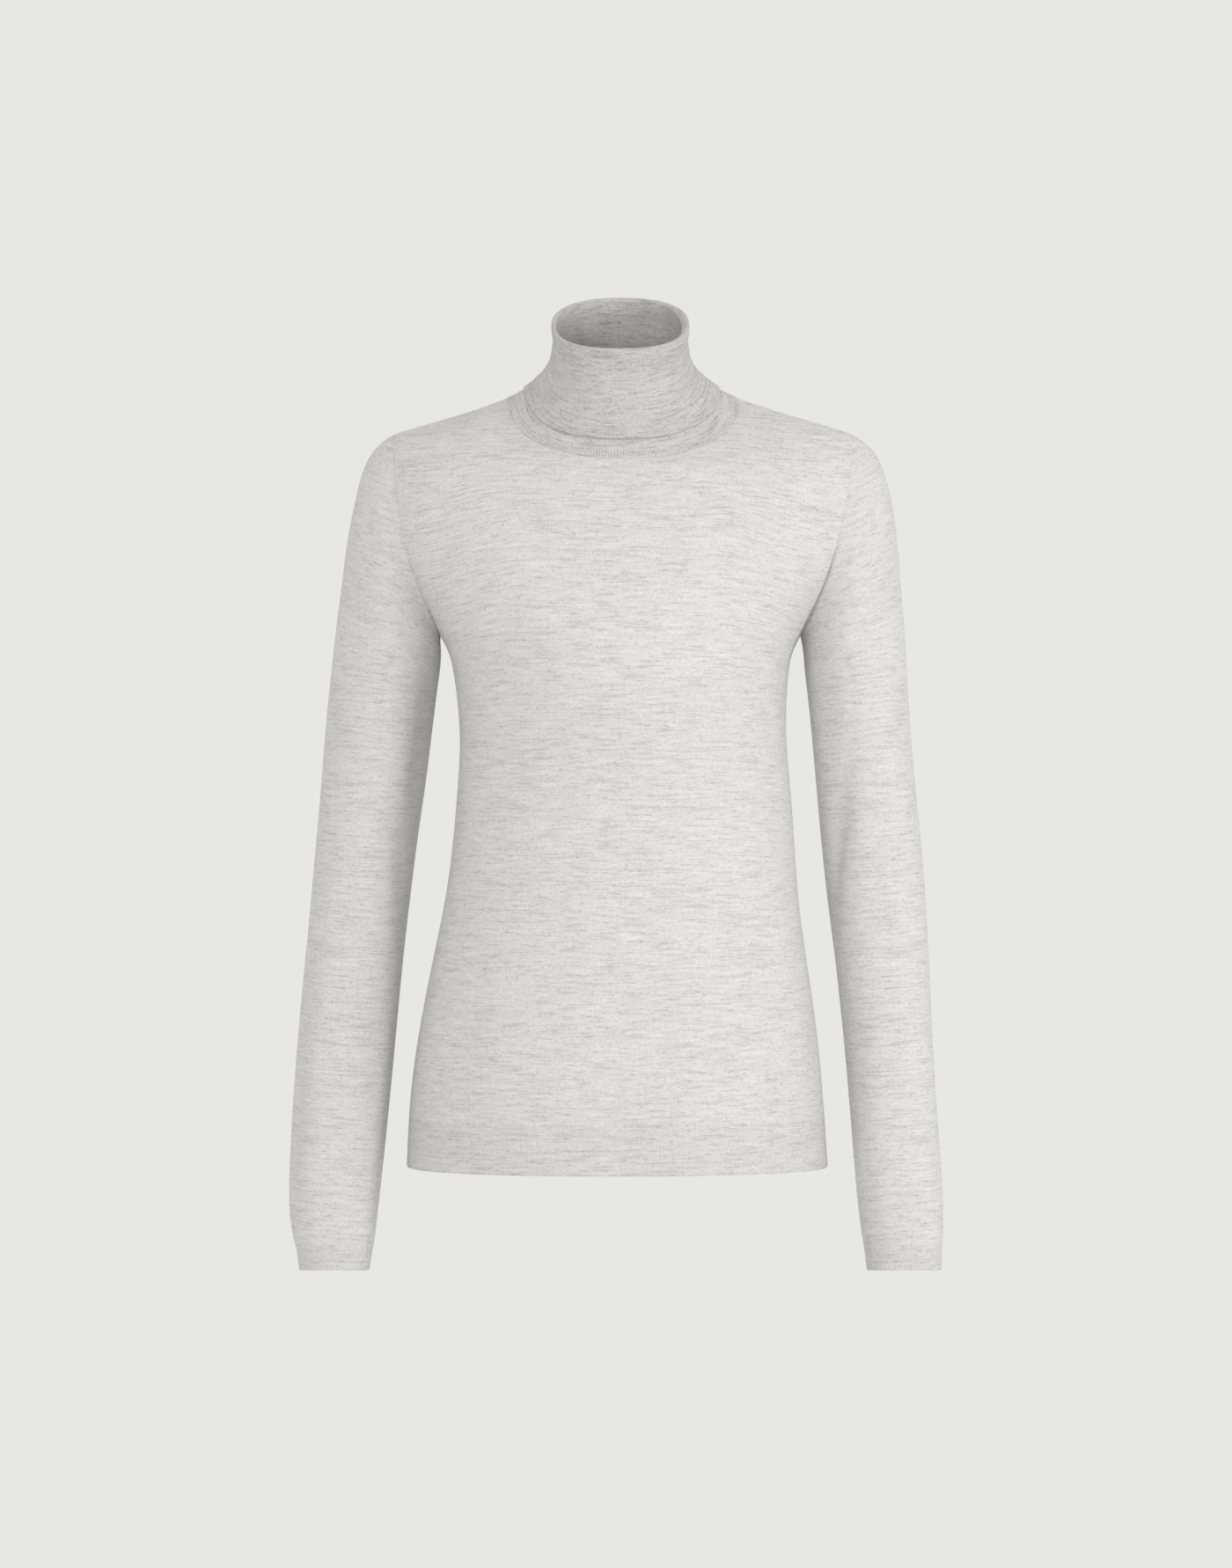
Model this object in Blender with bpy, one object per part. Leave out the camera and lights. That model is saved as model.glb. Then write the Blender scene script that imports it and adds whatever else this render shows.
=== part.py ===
"""A fine-gauge turtleneck sweater with set-in sleeves, filled out as if worn, with nobody in it.

Metres, +Z up.  The front faces -Y and the wearer's left arm is at +X.  The origin is the middle of
the neck's base, level with the points where the shoulder seams meet the neckline.

Every piece is a cloth wall.  Its outer face is a grid worked out from sections by height (body), from
rings along the arm (sleeves) or from the neckline and the rim (collar), and its inner face lies one
cloth thickness inside.
"""

import math
from collections import namedtuple

import bpy
import numpy as np

MM = 0.001

# Cloth
CLOTH = 1.3 * MM
SEAM_GAP = 0.3 * MM
MOST_MITRE = 2.0  # how many times the cloth's thickness a wall may measure across a seam's corner

# Body, in millimetres of height from the origin
HEM_EDGE = -593.5
HEM_SEAM = -555.5
UNDERARM = -184.0
SHOULDER_TIP = -29.0
NECK_HALF_WIDTH = 89.0
FRONT_NECK_DROP = 51.0
BACK_NECK_DROP = 6.0
NECK_ROUNDNESS = 2.35
SECTION_ROUNDNESS = 2.3

# Half the body's width at each height; above the shoulder tip this is where the shoulder line runs,
# and between the shoulder tip and the underarm it runs on past the armhole.  lean moves it sideways.
Width = namedtuple("Width", "height half lean")
WIDTHS = [
    Width(0.0, NECK_HALF_WIDTH, 1.5),
    Width(-8.5, 111.8, 2.5),
    Width(-17.0, 138.8, 2.8),
    Width(-24.0, 162.8, 2.5),
    Width(-29.0, 177.0, 2.0),
    Width(-35.0, 183.5, 2.0),
    Width(-45.0, 187.5, 1.8),
    Width(-62.0, 190.0, 1.4),
    Width(-84.0, 189.5, 0.9),
    Width(-105.0, 184.5, 0.4),
    Width(-125.0, 175.5, 0.1),
    Width(-145.0, 164.0, 0.0),
    Width(-165.0, 150.5, 0.0),
    Width(-184.0, 139.0, 0.0),
    Width(-196.0, 133.0, 0.1),
    Width(-211.0, 129.4, 0.4),
    Width(-236.0, 126.8, 1.2),
    Width(-264.0, 126.0, 2.1),
    Width(-304.0, 128.5, 2.7),
    Width(-345.0, 131.8, 2.4),
    Width(-385.0, 136.0, 1.2),
    Width(-427.0, 142.8, -0.3),
    Width(-481.0, 152.0, -1.7),
    Width(-535.0, 158.6, -2.8),
    Width(-593.5, 162.4, -2.5),
]

# How far the middle of the front and of the back stand out from the side seams' plane.
Depth = namedtuple("Depth", "height front back")
DEPTHS = [
    Depth(0.0, 16.0, 56.0),
    Depth(-12.0, 30.0, 63.0),
    Depth(-25.0, 44.0, 69.0),
    Depth(-40.0, 60.0, 76.0),
    Depth(-51.0, 70.5, 80.0),
    Depth(-80.0, 87.0, 89.0),
    Depth(-115.0, 101.0, 96.0),
    Depth(-150.0, 111.5, 98.5),
    Depth(-190.0, 117.0, 95.0),
    Depth(-225.0, 114.5, 87.0),
    Depth(-260.0, 106.5, 78.5),
    Depth(-300.0, 98.5, 74.0),
    Depth(-345.0, 95.5, 78.0),
    Depth(-400.0, 98.5, 89.5),
    Depth(-450.0, 103.0, 100.0),
    Depth(-500.0, 107.0, 107.0),
    Depth(-550.0, 109.0, 108.5),
    Depth(-593.5, 108.5, 106.5),
]

# Where the armhole seam crosses each height.
Armhole = namedtuple("Armhole", "height out")
ARMHOLE = [
    Armhole(-29.0, 177.0),
    Armhole(-50.0, 175.6),
    Armhole(-75.0, 172.8),
    Armhole(-100.0, 168.4),
    Armhole(-125.0, 162.0),
    Armhole(-148.0, 154.0),
    Armhole(-168.0, 145.4),
    Armhole(-184.0, 139.0),
]

# One row for each ring of the sleeves, from the armhole to the cuff's seam.  top and under are the
# heights of a ring's outer and inner end; out and in are how far those ends are from the middle of the
# body, on the left and the right arm; along is where the ring's middle lies from front to back.
# armhole is how much of the armhole's own shape is left in the ring.
Ring = namedtuple("Ring", "top left_out right_out under left_in right_in along half_depth armhole")
SLEEVE_RINGS = [
    Ring(-29.0, 179.0, 175.0, -184.0, 139.0, 139.0, 0.0, 50.0, 1.00),
    Ring(-33.0, 185.8, 181.6, -186.0, 139.6, 139.2, 0.0, 50.2, 0.90),
    Ring(-41.5, 195.3, 190.6, -188.5, 140.1, 139.2, 0.3, 50.6, 0.75),
    Ring(-56.0, 202.8, 198.4, -191.5, 140.7, 139.0, 0.8, 51.0, 0.57),
    Ring(-76.0, 208.6, 204.0, -195.5, 141.3, 138.8, 1.6, 51.5, 0.39),
    Ring(-102.0, 213.0, 209.4, -200.5, 142.0, 138.9, 3.0, 52.0, 0.23),
    Ring(-130.0, 216.1, 214.0, -207.5, 142.6, 139.4, 5.2, 52.0, 0.11),
    Ring(-159.0, 218.4, 217.7, -217.5, 143.7, 140.7, 8.0, 51.6, 0.04),
    Ring(-189.5, 220.6, 221.4, -231.0, 145.5, 142.5, 11.2, 51.0, 0.01),
    Ring(-222.0, 222.7, 225.2, -249.0, 147.8, 144.8, 14.5, 50.3, 0.00),
    Ring(-257.0, 225.0, 228.8, -273.0, 150.2, 147.8, 17.8, 49.5, 0.00),
    Ring(-295.0, 228.6, 232.0, -303.0, 152.8, 151.8, 20.4, 48.4, 0.00),
    Ring(-336.0, 232.7, 235.6, -338.0, 155.8, 157.0, 21.6, 47.0, 0.00),
    Ring(-378.0, 236.1, 239.2, -378.0, 159.8, 162.2, 20.8, 45.3, 0.00),
    Ring(-420.0, 238.5, 243.1, -420.0, 164.6, 167.0, 17.8, 43.5, 0.00),
    Ring(-462.0, 240.2, 247.2, -462.0, 169.6, 171.2, 13.0, 41.6, 0.00),
    Ring(-504.0, 241.8, 250.8, -504.0, 173.8, 175.0, 6.8, 39.6, 0.00),
    Ring(-546.0, 244.0, 253.6, -546.0, 177.2, 178.8, -0.4, 37.2, 0.00),
    Ring(-588.0, 246.7, 255.3, -588.0, 180.2, 182.8, -8.2, 34.6, 0.00),
    Ring(-622.0, 248.1, 255.3, -622.0, 183.1, 186.4, -14.6, 32.2, 0.00),
    Ring(-643.0, 247.9, 252.8, -643.0, 185.6, 188.6, -18.4, 30.2, 0.00),
    Ring(-656.0, 247.0, 249.4, -656.0, 187.6, 190.6, -20.6, 28.6, 0.00),
]
CUFF_EDGE = Ring(-672.0, 246.4, 246.6, -672.0, 189.4, 193.0, -22.6, 26.8, 0.00)
CUFF_TILT = 0.092  # how much a ring near the wrist rises for each millimetre towards the front
TILT_FROM, TILT_FULL = -380.0, -520.0
FLATNESS = 0.5
FLAT_FROM, FLAT_FULL = -200.0, -400.0

# Collar, in millimetres
RIM_HALF_WIDTH = 51.2
RIM_FRONT, RIM_BACK = 54.6, 58.6
RIM_ROUNDNESS = 2.35
RIM_FRONT_HEIGHT, RIM_BACK_HEIGHT = 31.5, 81.0
COLLAR_SPREAD_END = 0.68  # the part of the collar's height over which it spreads to the neckline
COLLAR_SPREAD_POWER = 2.2
STAND_STEP_POWER = 1.25  # above 1, the rings of the stand lie closer together near the neckline
TURN_DOWN_FRONT = 0.176  # where the turned-down layer ends, as a part of the collar's height
TURN_DOWN_SIDE = 0.125
LAYER_GAP = 0.9 * MM
LAYER_GAP_AT_EDGE = 0.8 * MM

# Soft hollows of the cloth.  On the body, across and height place one; on a sleeve, across is the
# angle round the arm in degrees from its outer side towards the front.
Fold = namedtuple("Fold", "piece across height length width turn depth")
FOLDS = [
    Fold("sleeve_left", 134.0, -330.0, 62.0, 13.0, -18.0, 2.6),
    Fold("sleeve_left", 62.0, -170.0, 60.0, 13.0, -60.0, 1.6),
    Fold("sleeve_left", -75.0, -380.0, 65.0, 16.0, 30.0, 2.0),
    Fold("sleeve_right", 128.0, -345.0, 62.0, 14.0, -18.0, 2.0),
    Fold("sleeve_right", 62.0, -170.0, 60.0, 13.0, -60.0, 1.6),
    Fold("sleeve_right", -75.0, -380.0, 65.0, 16.0, 30.0, 2.0),
    Fold("front", -112.0, -215.0, 62.0, 14.0, 58.0, 2.0),
    Fold("front", 112.0, -212.0, 62.0, 14.0, -58.0, 2.0),
    Fold("back", -108.0, -222.0, 66.0, 15.0, 52.0, 2.2),
    Fold("back", 108.0, -226.0, 66.0, 15.0, -52.0, 2.2),
    Fold("back", 0.0, -296.0, 90.0, 16.0, 88.0, 2.4),
]

# How finely the grids are cut
COLUMNS = 20
SIDE_ROWS = 12
SIDE_CROWDING = 0.6  # from 0 to 1, how much closer these rows lie towards the underarm
ARMHOLE_ROWS = 10
SHOULDER_ROWS = 5
BAND_ROWS = 2
SLEEVE_STEPS = 26
STAND_STEPS = 6
TURNED_STEPS = 5
ROLL_STEPS = 4

# Smaller settings
FOLD_FADE = 20.0  # millimetres of the body's depth over which its folds fade out towards the sides
LEVEL_EDGE = 0.2  # a wall's edge counts as upright when it rises by more than this share of its length
SAME_POINT = 0.001 * MM  # points of two pieces this near each other are one point of a seam
TINY = 1e-12  # stands in for a length of nothing, so that nothing is divided by it
CREASE_ANGLE = 50.0  # degrees between faces, above which their shading isn't blended

HEATHER_GREY = (0.62, 0.62, 0.62, 1.0)
BAND_GREY = (0.58, 0.58, 0.58, 1.0)


def curve_through(knots, values):
    """The natural cubic spline through the values, as a function of the knots' coordinate."""
    order = np.argsort(knots)
    knots = np.asarray(knots, float)[order]
    values = np.asarray(values, float)[order]
    step = np.diff(knots)
    rise = np.diff(values) / step
    system = np.eye(len(knots))
    right = np.zeros(len(knots))
    for k in range(1, len(knots) - 1):
        system[k, k - 1 : k + 2] = step[k - 1], 2 * (step[k - 1] + step[k]), step[k]
        right[k] = 6 * (rise[k] - rise[k - 1])
    bend = np.linalg.solve(system, right)

    def at(place):
        place = np.clip(place, knots[0], knots[-1])
        k = np.clip(np.searchsorted(knots, place, side="right") - 1, 0, len(step) - 1)
        before = (knots[k + 1] - place) / step[k]
        after = 1 - before
        straight = before * values[k] + after * values[k + 1]
        curved = (before**3 - before) * bend[k] + (after**3 - after) * bend[k + 1]
        return straight + curved * step[k] ** 2 / 6

    return at


def column_curve(table, column, key="height"):
    return curve_through([getattr(row, key) for row in table], [getattr(row, column) for row in table])


half_width = column_curve(WIDTHS, "half")
lean = column_curve(WIDTHS, "lean")
front_depth = column_curve(DEPTHS, "front")
back_depth = column_curve(DEPTHS, "back")
armhole_out = column_curve(ARMHOLE, "out")


def hollow(fold, across, along):
    """How deep a fold is at a point, given as millimetres across and along from the fold's middle."""
    turn = math.radians(fold.turn)
    lengthwise = (across * math.sin(turn) + along * math.cos(turn)) / fold.length
    sideways = (across * math.cos(turn) - along * math.sin(turn)) / fold.width
    return fold.depth * np.exp(-(lengthwise**2) - sideways**2)


def body_point(x, height, side):
    """The body's outer face at x and height, both in millimetres; side is "front" or "back"."""
    depth = front_depth(height) if side == "front" else back_depth(height)
    share = np.clip(np.abs(x) / half_width(height), 0, 1)
    out = depth * (1 - share**SECTION_ROUNDNESS) ** (1 / SECTION_ROUNDNESS)
    for fold in FOLDS:
        if fold.piece == side:
            pressed = hollow(fold, x - fold.across, height - fold.height)
            out = out - pressed * np.minimum(1, out / FOLD_FADE)
    y = -out if side == "front" else out
    return np.stack([x + lean(height), y, height + 0 * x], axis=-1) * MM


def edge_heights():
    """Heights of a panel's rows along its side: the side seam, the armhole and the shoulder line."""
    climbed = np.linspace(0, 1, SIDE_ROWS + 1)
    climbed += SIDE_CROWDING * (np.sin(climbed * math.pi / 2) - climbed)
    side = HEM_SEAM + (UNDERARM - HEM_SEAM) * climbed
    middle = (UNDERARM + SHOULDER_TIP) / 2
    reach = (SHOULDER_TIP - UNDERARM) / 2
    armhole = middle - reach * np.cos(np.linspace(0, math.pi, ARMHOLE_ROWS + 1))
    shoulder = np.linspace(SHOULDER_TIP, 0, SHOULDER_ROWS + 1)
    return np.concatenate([side, armhole[1:], shoulder[1:]])


def edge_out(height):
    return armhole_out(height) if UNDERARM < height < SHOULDER_TIP else half_width(height)


def across_shares(out, height):
    """Places across a panel from -1 to 1, evenly spaced round its section at this height."""
    limit = math.asin(min(1.0, out / half_width(height)))
    return np.sin(np.linspace(-limit, limit, COLUMNS + 1)) / math.sin(limit)


def panel_grid(side):
    """A body panel's outer face.  Rows run level at the hem and bend round the neckline at the top."""
    heights = edge_heights()
    drop = -FRONT_NECK_DROP if side == "front" else -BACK_NECK_DROP
    outs = [edge_out(height) for height in heights]
    rises = np.hypot(np.diff(outs), np.diff(heights))
    travelled = np.concatenate([[0], np.cumsum(rises)])
    above = np.clip((travelled - travelled[SIDE_ROWS]) / (travelled[-1] - travelled[SIDE_ROWS]), 0, 1)
    rows = []
    for height, out, climbed in zip(heights, outs, above):
        shares = across_shares(out, height)
        middle = height if climbed == 0 else UNDERARM + (drop - UNDERARM) * climbed
        flatness = 1 + (1 / NECK_ROUNDNESS - 1) * climbed**3
        lift = 1 - np.clip(1 - np.abs(shares) ** NECK_ROUNDNESS, 0, 1) ** flatness
        rows.append(body_point(out * shares, middle + (height - middle) * lift, side))
    return np.array(rows)


def hem_grid(side):
    rows = []
    for height in np.linspace(HEM_EDGE, HEM_SEAM, BAND_ROWS + 1):
        out = half_width(height)
        rows.append(body_point(out * across_shares(out, height), height, side))
    return np.array(rows)


def armhole_loop(sign):
    """The armhole seam from the shoulder tip down the front and up the back; sign is 1 on the left."""
    heights = edge_heights()[SIDE_ROWS : SIDE_ROWS + ARMHOLE_ROWS + 1][::-1]
    out = sign * np.array([edge_out(height) for height in heights])
    down = body_point(out, heights, "front")
    up = body_point(out, heights, "back")[::-1]
    return np.concatenate([down, up[1:-1]])


def squared(part, flat):
    """A cosine or sine drawn towards a rounded square's, more so the larger flat is."""
    return np.sign(part) * np.abs(part) ** (2 / (2 + flat))


def oval(ring, sign, angles):
    """One ring of a sleeve.  Angle 0 is its outer end, and a quarter turn on is its front."""
    out = ring["left_out"] if sign > 0 else ring["right_out"]
    inner = ring["left_in"] if sign > 0 else ring["right_in"]
    middle = (ring["top"] + ring["under"]) / 2
    flat = FLATNESS * np.clip((FLAT_FROM - middle) / (FLAT_FROM - FLAT_FULL), 0, 1)
    sideways, forwards = squared(np.cos(angles), flat), squared(np.sin(angles), flat)
    x = sign * ((out + inner) / 2 + (out - inner) / 2 * sideways)
    y = ring["along"] - ring["half_depth"] * forwards
    z = middle + (ring["top"] - ring["under"]) / 2 * np.cos(angles)
    bent = np.clip((TILT_FROM - z) / (TILT_FROM - TILT_FULL), 0, 1)
    z = z + CUFF_TILT * bent * ring["half_depth"] * np.sin(angles)
    return np.stack([x, y, z], axis=-1) * MM


def sleeve_folds(name, grid, angles):
    """Presses the sleeve's soft hollows into its rings, towards each ring's middle."""
    middles = grid.mean(axis=1, keepdims=True)
    radius = np.linalg.norm(grid - middles, axis=2)
    height = grid[:, :, 2] / MM
    turned = np.degrees(angles)[None, :]
    depth = np.zeros(radius.shape)
    for fold in FOLDS:
        if fold.piece == name:
            around = np.radians((turned - fold.across + 180) % 360 - 180) * radius / MM
            depth += hollow(fold, around, height - fold.height)
    return grid + (middles - grid) / radius[:, :, None] * depth[:, :, None] * MM


def sleeve_grid(name, sign):
    angles = np.linspace(0, 2 * math.pi, 2 * ARMHOLE_ROWS + 1)[:-1]
    numbers = np.arange(len(SLEEVE_RINGS))
    curves = {
        field: curve_through(numbers, [getattr(ring, field) for ring in SLEEVE_RINGS])
        for field in Ring._fields
    }
    first = {field: getattr(SLEEVE_RINGS[0], field) for field in Ring._fields}
    own_shape = armhole_loop(sign) - oval(first, sign, angles)
    rings = []
    for place in np.linspace(0, len(SLEEVE_RINGS) - 1, SLEEVE_STEPS + 1):
        ring = {field: curve(place) for field, curve in curves.items()}
        rings.append(oval(ring, sign, angles) + own_shape * max(0.0, ring["armhole"]))
    grid = sleeve_folds(name, np.array(rings), angles)
    grid[0] = armhole_loop(sign)
    return grid


def cuff_grid(sleeve, sign):
    """The cuff goes on from the sleeve's last ring down to its own edge."""
    angles = np.linspace(0, 2 * math.pi, 2 * ARMHOLE_ROWS + 1)[:-1]
    edge = oval(CUFF_EDGE._asdict(), sign, angles)
    shares = np.linspace(0, 1, BAND_ROWS + 1)[:, None, None]
    return sleeve[-1] * (1 - shares) + edge * shares


def round_neck(front_row, back_row):
    """One closed loop from a front row and a back row: across the front, then back behind."""
    return np.concatenate([front_row, back_row[::-1][1:-1]])


def collar_stand(front, back):
    """The collar's standing layer, from the neckline up to where it rolls over."""
    base = round_neck(front[-1], back[-1])
    across = np.linspace(-math.pi / 2, math.pi / 2, COLUMNS + 1)
    turned = np.concatenate([across, across[::-1][1:-1]])
    in_front = np.arange(len(turned)) <= COLUMNS
    reach = np.where(in_front, -RIM_FRONT, RIM_BACK)
    sideways = np.sign(turned) * np.abs(np.sin(turned)) ** (2 / RIM_ROUNDNESS)
    forwards = np.clip(np.cos(turned), 0, 1) ** (2 / RIM_ROUNDNESS)
    rim = np.stack([RIM_HALF_WIDTH * sideways, reach * forwards, 0 * turned], axis=-1)
    towards_back = (rim[:, 1] + RIM_FRONT) / (RIM_FRONT + RIM_BACK)
    rim[:, 2] = RIM_FRONT_HEIGHT + (RIM_BACK_HEIGHT - RIM_FRONT_HEIGHT) * towards_back
    rim *= MM
    layers = []
    for climbed in np.linspace(0, 1, STAND_STEPS + 1) ** STAND_STEP_POWER:
        spread = max(0.0, 1 - climbed / COLLAR_SPREAD_END) ** COLLAR_SPREAD_POWER
        layer = rim + (base - rim) * spread
        layer[:, 2] = base[:, 2] + (rim[:, 2] - base[:, 2]) * climbed
        layers.append(layer)
    return np.array(layers)


def face_normals(grid, closed):
    """Area-weighted normals of a grid's faces, rows by columns; closed grids wrap round."""
    across = np.roll(grid, -1, axis=1) if closed else grid[:, 1:]
    start = grid if closed else grid[:, :-1]
    one = across[1:] - start[:-1]
    other = start[1:] - across[:-1]
    return np.cross(one, other)


def corner_sums(faces, shape, closed):
    """Adds each face's normal to the grid points at its corners."""
    total = np.zeros(shape)
    columns = shape[1]
    for row in (0, 1):
        for column in (0, 1):
            rows = slice(row, row + faces.shape[0])
            if closed:
                total[rows] += np.roll(faces, column, axis=1)
            else:
                total[rows, column : column + columns - 1] += faces
    return total


def unit(vectors):
    return vectors / np.maximum(np.linalg.norm(vectors, axis=-1, keepdims=True), TINY)


def inward_offsets(grids, closed_pieces):
    """For each point of each grid, the way to its inner face, shared by the pieces that meet there."""
    sums, areas = {}, {}
    keys = {}
    for name, grid in grids.items():
        closed = name in closed_pieces
        faces = face_normals(grid, closed)
        own = corner_sums(faces, grid.shape, closed)
        sizes = np.repeat(np.linalg.norm(faces, axis=2)[:, :, None], 3, axis=2)
        size = corner_sums(sizes, grid.shape, closed)
        keys[name] = [[tuple(point) for point in row] for row in np.round(grid / SAME_POINT).astype(int)]
        for i, row in enumerate(keys[name]):
            for j, key in enumerate(row):
                sums[key] = sums.get(key, 0) + own[i, j]
                areas[key] = areas.get(key, 0) + size[i, j, 0]
    offsets = {}
    for name in grids:
        offset = []
        for row in keys[name]:
            for key in row:
                # Where faces turn sharply, their sum is short for its area: the wall is mitred there.
                mitre = min(MOST_MITRE, areas[key] / max(np.linalg.norm(sums[key]), TINY))
                offset.append(-unit(sums[key]) * CLOTH * mitre)
        offsets[name] = np.array(offset).reshape(grids[name].shape)
    return offsets


def across_seam(edge, beside, inward, closed):
    """The way from a seam into its piece, square to the seam and in the plane that parts the walls."""
    if closed:
        along = np.roll(edge, -1, axis=0) - np.roll(edge, 1, axis=0)
    else:
        along = np.gradient(edge, axis=0)
    depth = unit(inward)
    along = unit(along - (along * depth).sum(axis=1, keepdims=True) * depth)
    way = beside - edge
    way = way - (way * depth).sum(axis=1, keepdims=True) * depth
    return unit(way - (way * along).sum(axis=1, keepdims=True) * along)


def drawn_back(grid, inward, closed, rows=(), columns=()):
    """The grid with the named end rows and columns moved half a seam gap into the piece."""
    moved = grid.copy()
    for end in rows:
        beside = grid[1 if end == 0 else -2]
        moved[end] += across_seam(grid[end], beside, inward[end], closed) * SEAM_GAP / 2
    for end in columns:
        beside = grid[:, 1 if end == 0 else -2]
        moved[:, end] += across_seam(grid[:, end], beside, inward[:, end], False) * SEAM_GAP / 2
    return moved


def wall_faces(outer, closed):
    """Faces of a wall whose outer points come first and whose inner points follow."""
    rows, columns = outer.shape[:2]
    flat = outer.reshape(-1, 3)
    count = rows * columns
    around = columns if closed else columns - 1
    faces = []

    def edge_face(a, b):
        """Two triangles across the wall's thickness, cut the same way on both sides of a seam."""
        step = flat[b] - flat[a]
        upright = abs(step[2]) > LEVEL_EDGE * np.linalg.norm(step)
        if (step[2] if upright else step[0]) > 0:
            faces.extend([(a, a + count, b + count), (a, b + count, b)])
        else:
            faces.extend([(a, a + count, b), (b, a + count, b + count)])

    for i in range(rows - 1):
        for j in range(around):
            a, b = i * columns + j, i * columns + (j + 1) % columns
            c, d = b + columns, a + columns
            faces.append((a, b, c, d))
            faces.append((a + count, d + count, c + count, b + count))
    last = (rows - 1) * columns
    for j in range(around):
        edge_face(j, (j + 1) % columns)
        edge_face(last + (j + 1) % columns, last + j)
    if not closed:
        for i in range(rows - 1):
            edge_face((i + 1) * columns, i * columns)
            edge_face(i * columns + columns - 1, (i + 1) * columns + columns - 1)
    return faces


def knit_material(name, colour):
    material = bpy.data.materials.new(name)
    material.use_nodes = True
    shader = material.node_tree.nodes["Principled BSDF"]
    shader.inputs["Base Color"].default_value = colour
    shader.inputs["Roughness"].default_value = 0.9
    shader.inputs["Metallic"].default_value = 0.0
    return material


def add_object(name, points, faces, colour):
    mesh = bpy.data.meshes.new(name)
    mesh.from_pydata([tuple(point) for point in points], [], faces)
    mesh.validate()
    mesh.shade_smooth()
    mesh.set_sharp_from_angle(angle=math.radians(CREASE_ANGLE))
    mesh.materials.append(knit_material(name + "_knit", colour))
    made = bpy.data.objects.new(name, mesh)
    bpy.context.scene.collection.objects.link(made)
    return made


def add_wall(name, outer, inner, closed, colour):
    points = np.concatenate([outer.reshape(-1, 3), inner.reshape(-1, 3)])
    return add_object(name, points, wall_faces(outer, closed), colour)


def collar_ends(count):
    """Where the turned-down layer ends round the collar, as parts of its height."""
    turned = np.linspace(0, 2 * math.pi, count + 1)[:-1]
    return TURN_DOWN_SIDE + (TURN_DOWN_FRONT - TURN_DOWN_SIDE) * np.sin(turned) ** 2


def along_stand(stand, climbed):
    """Points of the standing layer at each column's own part of its height."""
    steps = np.linspace(0, 1, len(stand)) ** STAND_STEP_POWER
    points = np.empty((stand.shape[1], 3))
    for j, part in enumerate(climbed):
        for axis in range(3):
            points[j, axis] = np.interp(part, steps, stand[:, j, axis])
    return points


def add_collar(stand, inward):
    """One tube of cloth: up inside, over the rim and down outside, clear of itself all the way."""
    out = -unit(inward)
    inner_skin = stand + inward
    inner_skin[1:] = stand[1:] - out[1:] * CLOTH
    up = unit(stand[-1] - stand[-2])
    ends = collar_ends(stand.shape[1])
    turned_in, turned_out = [], []
    for share in np.linspace(1, 0, TURNED_STEPS + 1):
        climbed = ends + (1 - ends) * share
        points = along_stand(stand, climbed)
        ways = unit(along_stand(out, climbed))
        gap = LAYER_GAP_AT_EDGE + (LAYER_GAP - LAYER_GAP_AT_EDGE) * share
        turned_in.append(points + ways * gap)
        turned_out.append(points + ways * (gap + CLOTH))
    middle = stand[-1] + out[-1] * LAYER_GAP / 2
    outer_roll, inner_roll = [], []
    for angle in np.linspace(0, math.pi, ROLL_STEPS + 1)[1:-1]:
        way = up * math.sin(angle) - out[-1] * math.cos(angle)
        outer_roll.append(middle + way * (LAYER_GAP / 2 + CLOTH))
        inner_roll.append(middle + way * LAYER_GAP / 2)
    outside = list(inner_skin) + outer_roll + turned_out
    loops = np.array(outside + turned_in[::-1] + inner_roll[::-1] + list(stand[::-1]))
    rows, columns = loops.shape[:2]
    faces = []
    for i in range(rows):
        for j in range(columns):
            a, b = i * columns + j, i * columns + (j + 1) % columns
            c, d = (i + 1) % rows * columns + (j + 1) % columns, (i + 1) % rows * columns + j
            faces.append((a, d, c, b))
    return add_object("collar", loops.reshape(-1, 3), faces, BAND_GREY)


def clear_scene():
    for old in list(bpy.data.objects):
        bpy.data.objects.remove(old)


def main():
    clear_scene()
    front, back = panel_grid("front"), panel_grid("back")
    grids = {
        "front": front,
        "back": back[:, ::-1],
        "hem_front": hem_grid("front"),
        "hem_back": hem_grid("back")[:, ::-1],
        "collar": collar_stand(front, back),
    }
    for name, sign in (("left", 1), ("right", -1)):
        sleeve = sleeve_grid("sleeve_" + name, sign)
        cuff = cuff_grid(sleeve, sign)
        if sign < 0:
            sleeve, cuff = sleeve[:, ::-1], cuff[:, ::-1]
        grids["sleeve_" + name], grids["cuff_" + name] = sleeve, cuff
    tubes = ("collar", "sleeve_left", "sleeve_right", "cuff_left", "cuff_right")
    inward = inward_offsets(grids, tubes)
    seams = {
        "front": {"rows": (0, -1), "columns": (0, -1)},
        "back": {"rows": (0, -1), "columns": (0, -1)},
        "hem_front": {"rows": (-1,), "columns": (0, -1)},
        "hem_back": {"rows": (-1,), "columns": (0, -1)},
        "collar": {"rows": (0,)},
        "sleeve_left": {"rows": (0, -1)},
        "sleeve_right": {"rows": (0, -1)},
        "cuff_left": {"rows": (0,)},
        "cuff_right": {"rows": (0,)},
    }
    for name, grid in grids.items():
        moved = drawn_back(grid, inward[name], name in tubes, **seams[name])
        if name == "collar":
            add_collar(moved, inward[name])
            continue
        colour = HEATHER_GREY if name in ("front", "back", "sleeve_left", "sleeve_right") else BAND_GREY
        add_wall(name, moved, moved + inward[name], name in tubes, colour)


main()
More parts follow.
